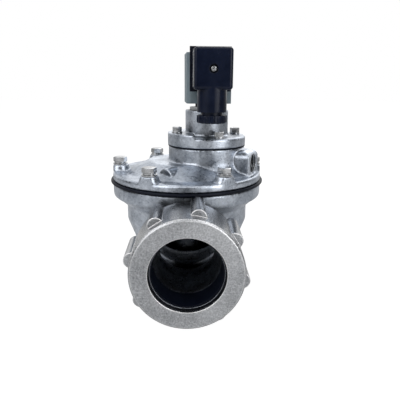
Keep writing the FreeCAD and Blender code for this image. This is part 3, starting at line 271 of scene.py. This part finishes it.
def castMetal(name, look, faceAxis=None):
    material, tree = newMaterial(name)
    place = objectPlace(tree)
    cloud = noise(tree, place, look["cloudScale"], castPattern["cloudDetail"])
    grain = noise(tree, place, look["grainScale"], castPattern["grainDetail"], castPattern["grainRough"])
    grit = noise(tree, place, look["gritScale"], castPattern["gritDetail"])
    tone = mathNode(tree, "ADD", mathNode(tree, "MULTIPLY", cloud, 1 - look["grainShare"]),
                    mathNode(tree, "MULTIPLY", grain, look["grainShare"]))
    color = blendColors(tree, remap(tree, tone, castPattern["toneFrom"]), look["dark"], look["light"])
    # Bright edges: partly wear, partly a painted highlight along every edge
    rounded = softEdge(tree, look["wearAndHighlightWidth"])
    wornAndHighlit = mathNode(tree, "MULTIPLY", edgeWearAndHighlight(tree, rounded), look["wearAndHighlightAmount"])
    color = blendColors(tree, wornAndHighlit, color, look["wearAndHighlight"])
    # Painted shade: ambient occlusion darkens the colour in ports, hollows and corners
    openness = addNode(tree, "ShaderNodeAmbientOcclusion", Distance=look["shadeReach"])
    openness.samples = castPattern["shadeSamples"]
    shadeFrom = (castPattern["shadeClosed"], look["shadeOpen"])
    paintedShadeMix = remap(tree, openness.outputs["AO"], shadeFrom, (look["shade"], 1.0))
    color = blendColors(tree, paintedShadeMix, black, color)
    rough = remap(tree, grain, castPattern["roughFrom"], look["rough"])
    if faceAxis:
        endFace = endFaces(tree, faceAxis)
        tint = remap(tree, endFace, castPattern["sideToFace"], (look["sideTone"], 1.0))
        color = blendColors(tree, mathNode(tree, "MAXIMUM", tint, wornAndHighlit), black, color)
        dull = remap(tree, endFace, castPattern["sideToFace"], (look["sideGloss"], 1.0))
        rough = mathNode(tree, "MULTIPLY", rough, dull)
    coarse = bump(tree, grain, castPattern["grainDepth"], castPattern["grainStrength"], rounded)
    normal = bump(tree, grit, castPattern["gritDepth"], castPattern["gritStrength"], coarse)
    finishSurface(tree, color, rough, normal, 1.0)
    return material


# Plated, turned and drawn metal

metalSettings = {
    "zinc_steel": {
        "name": "zincPlatedSteel",
        "dark": rgb(0.32, 0.33, 0.34),
        "light": rgb(0.66, 0.67, 0.69),
        "rough": (0.08, 0.2),
        "grainScale": 900.0,
        "edge": 0.0003,
        "streak": 1.0,
    },
    "stainless": {
        "name": "turnedStainless",
        "dark": rgb(0.45, 0.46, 0.47),
        "light": rgb(0.66, 0.67, 0.68),
        "rough": (0.2, 0.36),
        "grainScale": 700.0,
        "edge": 0.0003,
        "streak": 6.0,      # the grain is this much finer along Z, as a turning tool leaves it
    },
    "spring_steel": {
        "name": "springWire",
        "dark": rgb(0.32, 0.33, 0.34),
        "light": rgb(0.50, 0.50, 0.50),
        "rough": (0.25, 0.4),
        "grainScale": 1200.0,
        "edge": 0.0003,
        "streak": 1.0,
    },
    "tinned_brass": {
        "name": "tinnedBrass",
        "dark": rgb(0.66, 0.63, 0.55),
        "light": rgb(0.80, 0.78, 0.72),
        "rough": (0.18, 0.32),
        "grainScale": 900.0,
        "edge": 0.0001,
        "streak": 1.0,
    },
}

metalPattern = {
    "grainDetail": 4.0,
    "cloudShare": 0.15,     # the clouds' scale, against the grain's
    "cloudDetail": 2.0,
    "toneFrom": (0.35, 0.65),
    "roughFrom": (0.3, 0.7),
    "grainDepth": 0.00008,
    "grainStrength": 0.25,
}


def smoothMetal(look):
    material, tree = newMaterial(look["name"])
    mapping = addNode(tree, "ShaderNodeMapping", Vector=objectPlace(tree), Scale=(1.0, 1.0, look["streak"]))
    place = mapping.outputs[0]
    grain = noise(tree, place, look["grainScale"], metalPattern["grainDetail"])
    cloudScale = look["grainScale"] * metalPattern["cloudShare"]
    cloud = noise(tree, place, cloudScale, metalPattern["cloudDetail"])
    color = blendColors(tree, remap(tree, cloud, metalPattern["toneFrom"]), look["dark"], look["light"])
    rough = remap(tree, grain, metalPattern["roughFrom"], look["rough"])
    normal = bump(tree, grain, metalPattern["grainDepth"], metalPattern["grainStrength"],
                  softEdge(tree, look["edge"]))
    finishSurface(tree, color, rough, normal, 1.0)
    return material


# Rubber, resin and plastic

mouldedSettings = {
    "black_rubber": {
        "name": "blackRubber",
        "dark": rgb(0.0025, 0.004, 0.010),
        "light": rgb(0.005, 0.0075, 0.017),
        "rough": (0.42, 0.56),
        "grainScale": 1500.0,
        "edge": 0.0006,
        "gloss": 0.16,
    },
    "coil_resin": {
        "name": "coilResin",
        "dark": rgb(0.15, 0.195, 0.225),
        "light": rgb(0.20, 0.25, 0.28),
        "rough": (0.5, 0.65),
        "grainScale": 1300.0,
        "edge": 0.0006,
        "gloss": 0.3,
    },
    "black_plastic": {
        "name": "blackNylon",
        "dark": rgb(0.0025, 0.0055, 0.018),
        "light": rgb(0.005, 0.0095, 0.028),
        "rough": (0.16, 0.28),
        "grainScale": 1600.0,
        "edge": 0.0008,
        "gloss": 0.22,
    },
}

mouldedPattern = {
    "grainDetail": 3.0,
    "cloudShare": 0.06,
    "cloudDetail": 3.0,
    "cloudFrom": (0.3, 0.7),        # noise values that become both the tones and the roughness
    "grainDepth": 0.00007,
    "grainStrength": 0.2,
}


def moulded(look):
    material, tree = newMaterial(look["name"])
    place = objectPlace(tree)
    grain = noise(tree, place, look["grainScale"], mouldedPattern["grainDetail"])
    cloudScale = look["grainScale"] * mouldedPattern["cloudShare"]
    cloud = noise(tree, place, cloudScale, mouldedPattern["cloudDetail"])
    color = blendColors(tree, remap(tree, cloud, mouldedPattern["cloudFrom"]), look["dark"], look["light"])
    rough = remap(tree, cloud, mouldedPattern["cloudFrom"], look["rough"])
    normal = bump(tree, grain, mouldedPattern["grainDepth"], mouldedPattern["grainStrength"],
                  softEdge(tree, look["edge"]))
    finishSurface(tree, color, rough, normal, 0.0, look["gloss"])
    return material


finishes = {"cast_aluminium": castMetal("castAluminium", castSettings)}
for slot, look in metalSettings.items():
    finishes[slot] = smoothMetal(look)
for slot, look in mouldedSettings.items():
    finishes[slot] = moulded(look)

washerShadeFinish = castMetal("washerPaintedShade", washerShadeSettings)
ownFinishes = {             # nodes that don't look like the rest of their slot; the washers are painted near black as shade
    "inlet_nut": castMetal("castInletNut", nutSettings, "Y"),
    "outlet_nut": castMetal("castOutletNut", nutSettings, "Z"),
    "inlet_washer": washerShadeFinish,
    "outlet_washer": washerShadeFinish,
}

for entry in frame["record"]["subparts"]:
    name = entry["node"]
    materials = nodes[name].data.materials
    materials.clear()
    materials.append(ownFinishes.get(name, finishes[entry["material_slot"]]))
print("finishes ready")


# Castings get the soft inner and outer corners that a mould gives

softCorners = {
    "cells": {              # of the new skin, larger on a larger casting so that it stays light
        "valve_body": 0.0012,
        "main_cover": 0.0007,
        "pilot_cover": 0.00045,
    },
    "strength": 0.5,
    "rounds": 3,
}


def softenCasting(casting, cell, settings):
    skin = casting.modifiers.new("mouldSkin", "REMESH")
    skin.mode = "VOXEL"
    skin.voxel_size = cell
    skin.use_smooth_shade = True
    ease = casting.modifiers.new("mouldCorners", "SMOOTH")
    ease.factor = settings["strength"]
    ease.iterations = settings["rounds"]


for name, cell in softCorners["cells"].items():
    softenCasting(nodes[name], cell, softCorners)
print("castings ready")


# Piece helpers

pieceSettings = {
    "sharpAngle": 32.0,     # degrees, edges sharper than this stay crisp
}


def smoothStep(value):
    value = min(max(value, 0.0), 1.0)
    return value * value * (3 - 2 * value)


def itemNamed(items, name):
    return next(item for item in items if item["name"] == name)


def middleOf(name):
    low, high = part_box(name)
    return (low + high) / 2


def roundAxis(radius, angle, height):
    return Vector((radius * math.cos(angle), radius * math.sin(angle), height))


def facing(place, axis):
    return Matrix.Translation(place) @ Vector(axis).to_track_quat("Z", "Y").to_matrix().to_4x4()


def loopMesh(name, loops, closed=False):
    # Joins each loop of points to the next; a loop of one point is a tip
    grid = bmesh.new()
    rows = [[grid.verts.new(point) for point in loop] for loop in loops]
    if closed:
        rows.append(rows[0])
    for first, second in zip(rows, rows[1:]):
        for index, corner in enumerate(second):
            after = (index + 1) % len(second)
            if len(first) == 1:
                grid.faces.new((first[0], second[after], corner))
            else:
                grid.faces.new((first[index], first[after], second[after], corner))
    if not closed:
        for end in (rows[0], rows[-1]):
            if len(end) > 1:
                grid.faces.new(end)
    bmesh.ops.recalc_face_normals(grid, faces=grid.faces)
    mesh = bpy.data.meshes.new(name)
    grid.to_mesh(mesh)
    grid.free()
    return mesh


def ringMesh(name, rings, steps, closed=False):
    # A ring is a radius and a height, or gives them for each angle
    loops = []
    for ring in rings:
        loop = []
        for index in range(steps):
            angle = 2 * math.pi * index / steps
            radius, height = ring(angle) if callable(ring) else ring
            loop.append(roundAxis(radius, angle, height))
        loops.append(loop)
    return loopMesh(name, loops, closed)


def addPiece(name, mesh, body, slot):
    piece = bpy.data.objects.new(name, mesh)
    bpy.context.scene.collection.objects.link(piece)
    mesh.materials.clear()
    mesh.materials.append(finishes[slot])
    mesh.shade_smooth()
    mesh.set_sharp_from_angle(angle=math.radians(pieceSettings["sharpAngle"]))
    if body:                # a wedge has none here
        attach(piece, body)
    return piece


# One Geometry Nodes tree puts copies of a piece on points, each turned by chance

def makeScatter():
    tree = bpy.data.node_groups.new("copiesOnPoints", "GeometryNodeTree")
    inputs = {"Geometry": "Geometry", "Piece": "Object", "Seed": "Int", "Finish": "Material"}
    for name, kind in inputs.items():
        tree.interface.new_socket(name, in_out="INPUT", socket_type="NodeSocket" + kind)
    tree.interface.new_socket("Geometry", in_out="OUTPUT", socket_type="NodeSocketGeometry")
    start = tree.nodes.new("NodeGroupInput")
    piece = tree.nodes.new("GeometryNodeObjectInfo")
    chance = tree.nodes.new("FunctionNodeRandomValue")
    chance.inputs["Max"].default_value = 2 * math.pi
    spin = tree.nodes.new("ShaderNodeCombineXYZ")
    turn = tree.nodes.new("FunctionNodeEulerToRotation")
    copies = tree.nodes.new("GeometryNodeInstanceOnPoints")
    real = tree.nodes.new("GeometryNodeRealizeInstances")
    paint = tree.nodes.new("GeometryNodeSetMaterial")
    end = tree.nodes.new("NodeGroupOutput")
    number = next(socket for socket in chance.outputs if socket.type == "VALUE" and socket.enabled)
    for source, target in (
        (start.outputs["Piece"], piece.inputs["Object"]),
        (start.outputs["Seed"], chance.inputs["Seed"]),
        (number, spin.inputs["Z"]),
        (spin.outputs[0], turn.inputs[0]),
        (start.outputs["Geometry"], copies.inputs["Points"]),
        (piece.outputs["Geometry"], copies.inputs["Instance"]),
        (turn.outputs[0], copies.inputs["Rotation"]),
        (copies.outputs[0], real.inputs[0]),
        (real.outputs[0], paint.inputs["Geometry"]),
        (start.outputs["Finish"], paint.inputs["Material"]),
        (paint.outputs[0], end.inputs[0]),
    ):
        tree.links.new(source, target)
    return tree


scatter = makeScatter()


def setTreeInputs(modifier, values):
    for item in modifier.node_group.interface.items_tree:
        if item.in_out == "INPUT" and item.name in values:
            modifier[item.identifier] = values[item.name]


def scatterPiece(name, mesh, places, seed, body, slot):
    sample = bpy.data.objects.new(name + "Sample", mesh)
    points = bpy.data.meshes.new(name + "Points")
    points.from_pydata(places, [], [])
    carrier = bpy.data.objects.new(name + "Carrier", points)
    for item in (sample, carrier):
        bpy.context.scene.collection.objects.link(item)
    modifier = carrier.modifiers.new("copies", "NODES")
    modifier.node_group = scatter
    setTreeInputs(modifier, {"Piece": sample, "Seed": seed, "Finish": finishes[slot]})
    depsgraph = bpy.context.evaluated_depsgraph_get()
    made = bpy.data.meshes.new_from_object(carrier.evaluated_get(depsgraph), depsgraph=depsgraph)
    for item in (sample, carrier):
        bpy.data.objects.remove(item)
    return addPiece(name, made, body, slot)


# Cover bolts and pilot screws: hexagon heads with the turned chamfer, over washers

coverBolts = {
    "flats": 0.010,
    "head": 0.004,
    "shank": 0.003,
    "circle": 0.0563,
    "firstAngle": 30.0,     # degrees from the front
    "count": 6,
    "seed": 4,              # of the turn that each head was left at
}

splitWashers = {
    "outer": 0.0050,
    "inner": 0.0031,
    "height": 0.0013,
    "thickness": 0.72,      # of the height, the rest is the rise from one end to the other
    "gap": 7.0,             # degrees cut away at each end
    "steps": 40,
    "seed": 9,
}

pilotScrews = {
    "flats": 0.007,
    "head": 0.004,
    "shank": 0.002,
    "circle": 0.026,
    "firstAngle": 20.0,
    "count": 4,
    "washer": 0.0012,       # thickness of the washers, which lie at two heights
    "padEdge": 0.0105,      # screws further left of the axis than this stand on the raised pad
    "seed": 2,
}

headShape = {
    "turned": 0.97,         # of the flats, the round face on top
    "chamfer": 30.0,        # degrees
    "edge": 0.0002,
    "crown": 0.9,           # of the round face's radius, the middle that stands a little proud
    "crownRise": 0.00005,
    "sink": 0.00006,        # lowers the whole bolt, so that the crown stays inside the solid head
    "tip": 0.8,             # of the shank's radius
    "steps": 48,
}


def hexagonRadius(angle, flats):
    sixth = math.pi / 3
    return flats / 2 / math.cos((angle % sixth) - sixth / 2)


def chamferDrop(radius, turned):
    return (radius - turned) * math.tan(math.radians(headShape["chamfer"]))


def boltMesh(name, sizes, length):
    flats = sizes["flats"]
    head = sizes["head"]
    shank = sizes["shank"]
    turned = flats / 2 * headShape["turned"]
    tip = shank * headShape["tip"]
    edge = headShape["edge"]

    def under(angle):
        return hexagonRadius(angle, flats) - edge, 0.0

    def side(angle):
        return hexagonRadius(angle, flats), edge

    def chamfer(angle):
        radius = hexagonRadius(angle, flats)
        return radius, head - chamferDrop(radius, turned)

    rings = [(tip, -length), (shank, shank - tip - length), (shank, 0.0), under, side, chamfer,
             (turned, head), (turned * headShape["crown"], head + headShape["crownRise"])]
    return ringMesh(name, rings, headShape["steps"])


def splitWasherMesh(name, sizes):
    inner = sizes["inner"]
    outer = sizes["outer"]
    thickness = sizes["height"] * sizes["thickness"]
    gap = math.radians(sizes["gap"])
    loops = []
    for index in range(sizes["steps"] + 1):
        share = index / sizes["steps"]
        angle = gap + (2 * math.pi - 2 * gap) * share
        under = (sizes["height"] - thickness) * share
        top = under + thickness
        corners = ((inner, under), (outer, under), (outer, top), (inner, top))
        loops.append([roundAxis(radius, angle, height) for radius, height in corners])
    return loopMesh(name, loops)


def ringPlaces(sizes, centre):
    places = []
    for index in range(sizes["count"]):
        angle = math.radians(sizes["firstAngle"] + 360.0 * index / sizes["count"])
        across = sizes["circle"] * math.sin(angle)
        along = sizes["circle"] * math.cos(angle)
        places.append((centre.x + across, centre.y - along))
    return places


def makeCoverBolts(sizes, washers):
    low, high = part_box("cover_bolts")
    places = ringPlaces(sizes, middleOf("main_cover"))
    seat = high.z - sizes["head"] - headShape["sink"]
    heads = [(x, y, seat) for x, y in places]
    mesh = boltMesh("hexBolt", sizes, seat - low.z)
    bolts = scatterPiece("hexBolts", mesh, heads, sizes["seed"], "valve", "zinc_steel")
    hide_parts("cover_bolts")
    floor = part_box("cover_spring_washers")[0].z
    rings = [(x, y, floor) for x, y in places]
    mesh = splitWasherMesh("splitWasher", washers)
    split = scatterPiece("splitWashers", mesh, rings, washers["seed"], "valve", "zinc_steel")
    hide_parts("cover_spring_washers")


def makePilotScrews(sizes):
    low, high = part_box("pilot_cover_screws")
    washerLow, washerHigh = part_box("pilot_screw_washers")
    padSeat = high.z - sizes["head"] - headShape["sink"]
    rimSeat = padSeat - (washerHigh.z - washerLow.z) + sizes["washer"]
    axis = middleOf("pilot_diaphragm")
    heads = []
    for x, y in ringPlaces(sizes, axis):
        onPad = x < axis.x - sizes["padEdge"]
        heads.append((x, y, padSeat if onPad else rimSeat))
    mesh = boltMesh("pilotScrew", sizes, rimSeat - low.z)
    screws = scatterPiece("pilotScrews", mesh, heads, sizes["seed"], "valve", "zinc_steel")
    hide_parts("pilot_cover_screws")


makeCoverBolts(coverBolts, splitWashers)
makePilotScrews(pilotScrews)
print("fasteners ready")


# Cable nut with its broad grips

cableNut = {
    "ribs": 12,
    "ribDepth": 0.0010,
    "ribFlank": 1.6,        # higher makes the ribs' sides steeper
    "ribStart": 0.3,        # of the lower chamfer, where the ribs begin
    "ribSteps": 16,
    "gripHeight": 0.0059,
    "neck": 0.0081,
    "hole": 0.0046,
    "edge": 0.0008,
}


def makeCableNut(sizes):
    low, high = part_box("cable_gland_nut")
    centre = middleOf("cable_gland_nut")
    outside = (high.x - low.x) / 2
    gripTop = low.z + sizes["gripHeight"]
    hole = sizes["hole"]
    neck = sizes["neck"]
    edge = sizes["edge"]
    start = sizes["ribStart"]

    def grip(height, inset):
        def ring(angle):
            ridge = smoothStep(0.5 + sizes["ribFlank"] * math.cos(angle * sizes["ribs"]))
            return outside - inset - sizes["ribDepth"] * (1 - ridge), height
        return ring

    rings = [(hole, high.z), (hole, low.z + edge / 2), (hole + edge / 2, low.z),
             (outside - sizes["ribDepth"] - edge, low.z), grip(low.z + edge * start, edge * (1 - start)),
             grip(low.z + edge, 0.0), grip(gripTop - edge / 2, 0.0), grip(gripTop, edge / 2),
             (neck, gripTop), (neck, high.z)]
    mesh = ringMesh("cableNutGrips", rings, sizes["ribSteps"] * sizes["ribs"], closed=True)
    mesh.transform(Matrix.Translation((centre.x, centre.y, 0.0)))
    nut = addPiece("cableNutGrips", mesh, "cable_nut", "black_plastic")
    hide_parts("cable_gland_nut")


makeCableNut(cableNut)
print("cable nut ready")


# Socket screw: a domed head with a crossed recess

socketScrew = {
    "dome": 0.0006,
    "slotHalf": 0.00042,
    "slotReach": 0.0015,
    "slotDepth": 0.0009,
    "head": 0.002,
    "stem": 0.0015,
    "length": 0.025,
    "steps": 96,
    "rounds": 14,           # rings of points over the head
}


def makeSocketScrew(sizes):
    outward = Vector(itemNamed(frame["joints"], "connector_pull")["axis"])
    low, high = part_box("connector_screw")
    radius = (high.z - low.z) / 2

    def crown(x, y):
        drop = sizes["dome"] * (math.hypot(x, y) / radius) ** 2
        inSlot = min(abs(x), abs(y)) < sizes["slotHalf"] and max(abs(x), abs(y)) < sizes["slotReach"]
        return -drop - (sizes["slotDepth"] if inSlot else 0.0)

    angles = [2 * math.pi * index / sizes["steps"] for index in range(sizes["steps"])]
    loops = [[(0.0, 0.0, crown(0.0, 0.0))]]
    for step in range(1, sizes["rounds"] + 1):
        loop = []
        for angle in angles:
            point = roundAxis(radius * step / sizes["rounds"], angle, 0.0)
            point.z = crown(point.x, point.y)
            loop.append(point)
        loops.append(loop)
    for reach, depth in ((radius, sizes["head"]), (sizes["stem"], sizes["head"]),
                         (sizes["stem"], sizes["length"])):
        loops.append([roundAxis(reach, angle, -depth) for angle in angles])
    mesh = loopMesh("socketScrewHead", loops)
    centre = middleOf("connector_screw")
    front = max(corner.co.dot(outward) for corner in nodes["connector_screw"].data.vertices)
    mesh.transform(facing(centre + outward * (front - centre.dot(outward)), outward))
    screw = addPiece("socketScrewHead", mesh, "connector", "zinc_steel")
    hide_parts("connector_screw")


makeSocketScrew(socketScrew)
print("socket screw ready")


# Nut on the coil's tube, chamfered on both sides

coilNut = {
    "flats": 0.013,
    "turned": 0.92,         # of the flats, the round face on each side
    "bore": 0.00402,
    "edge": 0.0003,
    "steps": 48,
}


def makeCoilNut(sizes):
    low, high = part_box("coil_nut")
    centre = middleOf("coil_nut")
    turned = sizes["flats"] / 2 * sizes["turned"]
    bore = sizes["bore"]
    edge = sizes["edge"]

    def upper(angle):
        radius = hexagonRadius(angle, sizes["flats"])
        return radius, high.z - chamferDrop(radius, turned)

    def lower(angle):
        radius = hexagonRadius(angle, sizes["flats"])
        return radius, low.z + chamferDrop(radius, turned)

    rings = [(bore, high.z - edge), (bore, low.z), (turned, low.z), lower, upper,
             (turned, high.z), (bore + edge, high.z)]
    mesh = ringMesh("coilNutHexagon", rings, sizes["steps"], closed=True)
    mesh.transform(Matrix.Translation((centre.x, centre.y, 0.0)))
    nut = addPiece("coilNutHexagon", mesh, "valve", "zinc_steel")
    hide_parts("coil_nut")


# Screw threads, each one ridge wound up a bore or a stud

exhaustThread = {
    "depth": 0.0007,
    "pitch": 0.001337,
    "margin": 0.0006,       # plain run at both ends
}

tipThread = {
    "crest": 0.00425,       # radius
    "depth": 0.0004,
    "pitch": 0.0010,
    "margin": 0.0001,
}

ridgeShape = {
    "rootHalf": 0.378,      # of the pitch, half the ridge's width at its foot
    "crestHalf": 0.09,      # and at its crest
    "sink": 0.00015,        # its foot reaches this deep into the wall
    "steps": 40,            # in one turn
    "fade": 6.0,            # how fast it grows from its ends, in depths a turn
    "end": 0.05,            # of the depth, at the very ends
}


def threadMesh(name, root, crest, sizes, length):
    steps = ridgeShape["steps"]
    run = length - 2 * sizes["margin"]
    count = int(run / sizes["pitch"] * steps)
    rootHalf = ridgeShape["rootHalf"] * sizes["pitch"]
    crestHalf = ridgeShape["crestHalf"] * sizes["pitch"]
    loops = []
    for index in range(count + 1):
        angle = 2 * math.pi * index / steps
        middle = -run / 2 + run * index / count
        fromEnd = min(index, count - index) / steps
        growth = min(1.0, ridgeShape["fade"] * fromEnd + ridgeShape["end"])
        ridge = root + (crest - root) * growth
        corners = ((root, -rootHalf), (ridge, -crestHalf), (ridge, crestHalf), (root, rootHalf))
        loops.append([roundAxis(radius, angle, middle + height) for radius, height in corners])
    return loopMesh(name, loops)


def makeExhaustThread(sizes):
    port = itemNamed(frame["record"]["mounts"], "exhaust")
    radius = port["dims"]["r_mm"] / 1000
    root = radius + ridgeShape["sink"]
    crest = radius - sizes["depth"]
    mesh = threadMesh("exhaustThread", root, crest, sizes, port["dims"]["length_mm"] / 1000)
    mesh.transform(facing(port["pos_m"], port["axis"]))
    addPiece("exhaustThread", mesh, "valve", "cast_aluminium")


def makeTipThread(sizes):
    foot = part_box("coil_nut")[1].z
    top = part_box("armature_tube")[1].z
    centre = middleOf("armature_tube")
    root = sizes["crest"] - sizes["depth"] - ridgeShape["sink"]
    mesh = threadMesh("tubeTipThread", root, sizes["crest"], sizes, top - foot)
    mesh.transform(Matrix.Translation((centre.x, centre.y, (top + foot) / 2)))
    addPiece("tubeTipThread", mesh, "valve", "stainless")


makeCoilNut(coilNut)
makeExhaustThread(exhaustThread)
makeTipThread(tipThread)
print("nut and threads ready")


# Diaphragms, as rubber wedges

mainRubber = {
    "node": "main_diaphragm",
    "plates": "main_plates",
    "wall": 0.0022,
    "hole": 0.0040,
    "clamp": 0.0465,        # inside of the clamped rim
    "grip": 0.0270,         # outside of the part that follows the plates
    "roll": {
        "inner": 0.027,
        "outer": 0.043,
        "rise": 0.0025,
        "side": 0.004,      # width of each of its slopes
    },
}

pilotRubber = {
    "node": "pilot_diaphragm",
    "plates": "pilot_plates",
    "wall": 0.0011,
    "hole": 0.0020,
    "clamp": 0.0210,
    "grip": 0.0130,
    "roll": None,
}

rubberShape = {
    "wedges": 12,
    "wedgeSteps": 8,
    "radiusSteps": 26,
    "nose": 0.75,           # of half the wall, how far the rim is rounded
    "noseSteps": 6,
}


def rollLift(radius, roll):
    if not roll:
        return 0.0
    return roll["rise"] * smoothStep(min(radius - roll["inner"], roll["outer"] - radius) / roll["side"])


def rubberProfile(sizes, outside):
    half = sizes["wall"] / 2
    nose = half * rubberShape["nose"]
    hole = sizes["hole"]
    count = rubberShape["radiusSteps"]
    radii = [hole + (outside - nose - hole) * index / count for index in range(count + 1)]
    top = [(radius, rollLift(radius, sizes["roll"]) + half) for radius in radii]
    under = [(radius, rollLift(radius, sizes["roll"]) - half) for radius in reversed(radii)]
    rim = []
    for index in range(1, rubberShape["noseSteps"]):
        angle = math.pi / 2 - math.pi * index / rubberShape["noseSteps"]
        rim.append((outside - nose + nose * math.cos(angle), half * math.sin(angle)))
    return top + rim + under


def wedgeMesh(name, profile, centre, first, last):
    loops = []
    for index in range(rubberShape["wedgeSteps"] + 1):
        angle = first + (last - first) * index / rubberShape["wedgeSteps"]
        loops.append([centre + roundAxis(radius, angle, height) for radius, height in profile])
    return loopMesh(name, loops)


def makeRubber(sizes):
    low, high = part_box(sizes["node"])
    centre = middleOf(sizes["node"])
    centre.z = low.z + sizes["wall"] / 2
    profile = rubberProfile(sizes, min(high.x - low.x, high.y - low.y) / 2)
    wide = 2 * math.pi / rubberShape["wedges"]
    for index in range(rubberShape["wedges"]):
        name = "%sWedge%02d" % (sizes["node"].split("_")[0], index + 1)
        mesh = wedgeMesh(name, profile, centre, wide * index, wide * (index + 1))
        wedge = addPiece(name, mesh, None, "black_rubber")
        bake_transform(wedge)
        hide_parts(sizes["node"])


makeRubber(mainRubber)
makeRubber(pilotRubber)
print("diaphragms ready")


# Springs of round wire

springSettings = {
    "main_spring": {
        "joint": "main_lift",
        "radius": 0.014,    # to the middle of the wire
        "wire": 0.0009,     # radius of the wire
        "turns": 2.5,
    },
    "pilot_spring": {
        "joint": "pilot_lift",
        "radius": 0.0085,
        "wire": 0.0007,
        "turns": 4.0,
    },
    "plunger_spring": {
        "joint": "plunger_stroke",
        "radius": 0.0021,
        "wire": 0.0003,
        "turns": 6.0,
    },
}

coilShape = {
    "steps": 36,            # in one turn
    "sides": 10,            # of the wire
}


def springMesh(name, sizes, centre, low, high):
    steps = coilShape["steps"]
    wire = sizes["wire"]
    count = int(sizes["turns"] * steps)
    run = high - low - 2 * wire
    loops = []
    for index in range(count + 1):
        outward = roundAxis(1.0, 2 * math.pi * index / steps, 0.0)
        middle = Vector((centre.x, centre.y, low + wire + run * index / count)) + outward * sizes["radius"]
        loop = []
        for side in range(coilShape["sides"]):
            turn = 2 * math.pi * side / coilShape["sides"]
            loop.append(middle + outward * wire * math.cos(turn) + Vector((0, 0, wire * math.sin(turn))))
        loops.append(loop)
    return loopMesh(name, loops)


def makeSpring(node, sizes):
    low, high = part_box(node)
    centre = middleOf(node)
    name = node.split("_")[0] + "SpringWire"
    mesh = springMesh(name, sizes, centre, low.z, high.z)
    spring = addPiece(name, mesh, "valve", "spring_steel")
    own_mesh(spring)
    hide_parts(node)


for node, sizes in springSettings.items():
    makeSpring(node, sizes)
print("springs ready")


# Floor

floorSettings = {
    "reach": 4.0,
    "tone": rgb(0.86, 0.86, 0.86),  # where the object's shadow shows
    "glow": rgb(1, 1, 1),
    "glowStrength": 1.24,
    "glowShare": 0.75,              # of what the camera sees, the tone has the rest
}


def makeFloor(settings):
    reach = settings["reach"]
    corners = [(-reach, -reach, 0), (reach, -reach, 0), (reach, reach, 0), (-reach, reach, 0)]
    mesh = bpy.data.meshes.new("floor")
    mesh.from_pydata(corners, [], [(0, 1, 2, 3)])
    floor = bpy.data.objects.new("floor", mesh)
    bpy.context.scene.collection.objects.link(floor)
    material, tree = newMaterial("paleFloor")
    diffuse = addNode(tree, "ShaderNodeBsdfDiffuse", Color=settings["tone"])
    glow = addNode(tree, "ShaderNodeEmission", Color=settings["glow"], Strength=settings["glowStrength"])
    rays = tree.nodes.new("ShaderNodeLightPath")
    seen = mathNode(tree, "MULTIPLY", rays.outputs["Is Camera Ray"], settings["glowShare"])
    mix = tree.nodes.new("ShaderNodeMixShader")
    tree.links.new(seen, mix.inputs[0])
    tree.links.new(diffuse.outputs[0], mix.inputs[1])
    tree.links.new(glow.outputs[0], mix.inputs[2])
    output = tree.nodes.new("ShaderNodeOutputMaterial")
    tree.links.new(mix.outputs[0], output.inputs["Surface"])
    mesh.materials.append(material)


# Room, white to the camera, with pale walls and a pale ceiling for the metal to show

roomSettings = {
    "ambient": 0.35,
    "gloom": 0.10,          # strength of the rest of the room, as metal shows it
    "bands": (              # bright walls; angles are degrees from the front, to the right
        {"angle": -52.0, "half": 26.0, "soft": 14.0, "strength": 0.6},
        {"angle": 49.0, "half": 8.0, "soft": 5.0, "strength": 4.2},
        {"angle": 180.0, "half": 62.0, "soft": 16.0, "strength": 0.95},
    ),
    "ceilingFrom": (0.42, 0.72),    # sine of the height where it begins and is full
    "ceiling": 0.8,
}


def makeWorld(settings):
    world = bpy.data.worlds.new("paleRoom")
    world.use_nodes = True
    tree = world.node_tree
    tree.nodes.clear()
    direction = tree.nodes.new("ShaderNodeTexCoord").outputs["Generated"]
    x, y, z = addNode(tree, "ShaderNodeSeparateXYZ", Vector=direction).outputs
    side = mathNode(tree, "ARCTAN2", x, mathNode(tree, "MULTIPLY", y, -1.0))
    shade = remap(tree, z, settings["ceilingFrom"], (0.0, settings["ceiling"]))
    for band in settings["bands"]:
        apart = mathNode(tree, "SUBTRACT", side, math.radians(band["angle"]))
        apart = mathNode(tree, "ABSOLUTE", mathNode(tree, "WRAP", apart, math.pi, -math.pi))
        near = math.radians(band["half"] - band["soft"])
        far = math.radians(band["half"] + band["soft"])
        shade = mathNode(tree, "MAXIMUM", shade, remap(tree, apart, (near, far), (band["strength"], 0.0)))
    shade = mathNode(tree, "MAXIMUM", shade, settings["gloom"])
    rays = tree.nodes.new("ShaderNodeLightPath")
    mirrored = mathNode(tree, "MAXIMUM", rays.outputs["Is Glossy Ray"], rays.outputs["Is Transmission Ray"])
    shown = remap(tree, mirrored, (0.0, 1.0), (settings["ambient"], shade))
    strength = remap(tree, rays.outputs["Is Camera Ray"], (0.0, 1.0), (shown, 1.0))
    back = addNode(tree, "ShaderNodeBackground", Color=rgb(1, 1, 1), Strength=strength)
    output = tree.nodes.new("ShaderNodeOutputWorld")
    tree.links.new(back.outputs[0], output.inputs["Surface"])
    bpy.context.scene.world = world


# Lamps, all of them soft boxes turned to the same point

lampAim = (0, -0.03, 0.12)

lampSettings = {
    "keyLight": {"place": (-0.75, -0.65, 0.75), "width": 1.0, "height": 1.1, "power": 5.5},
    "sideLight": {"place": (0.55, -0.85, 0.35), "width": 0.45, "height": 0.9, "power": 1.8},
    "backLight": {"place": (0.3, 0.9, 0.8), "width": 1.0, "height": 0.8, "power": 3.0},
}


def makeLamp(name, settings):
    data = bpy.data.lights.new(name, "AREA")
    data.shape = "RECTANGLE"
    data.size = settings["width"]
    data.size_y = settings["height"]
    data.energy = settings["power"]
    lamp = bpy.data.objects.new(name, data)
    bpy.context.scene.collection.objects.link(lamp)
    lamp.location = settings["place"]
    ahead = Vector(lampAim) - Vector(settings["place"])
    lamp.rotation_euler = ahead.to_track_quat("-Z", "Y").to_euler()


makeFloor(floorSettings)
makeWorld(roomSettings)
for name, settings in lampSettings.items():
    makeLamp(name, settings)
print("light ready")
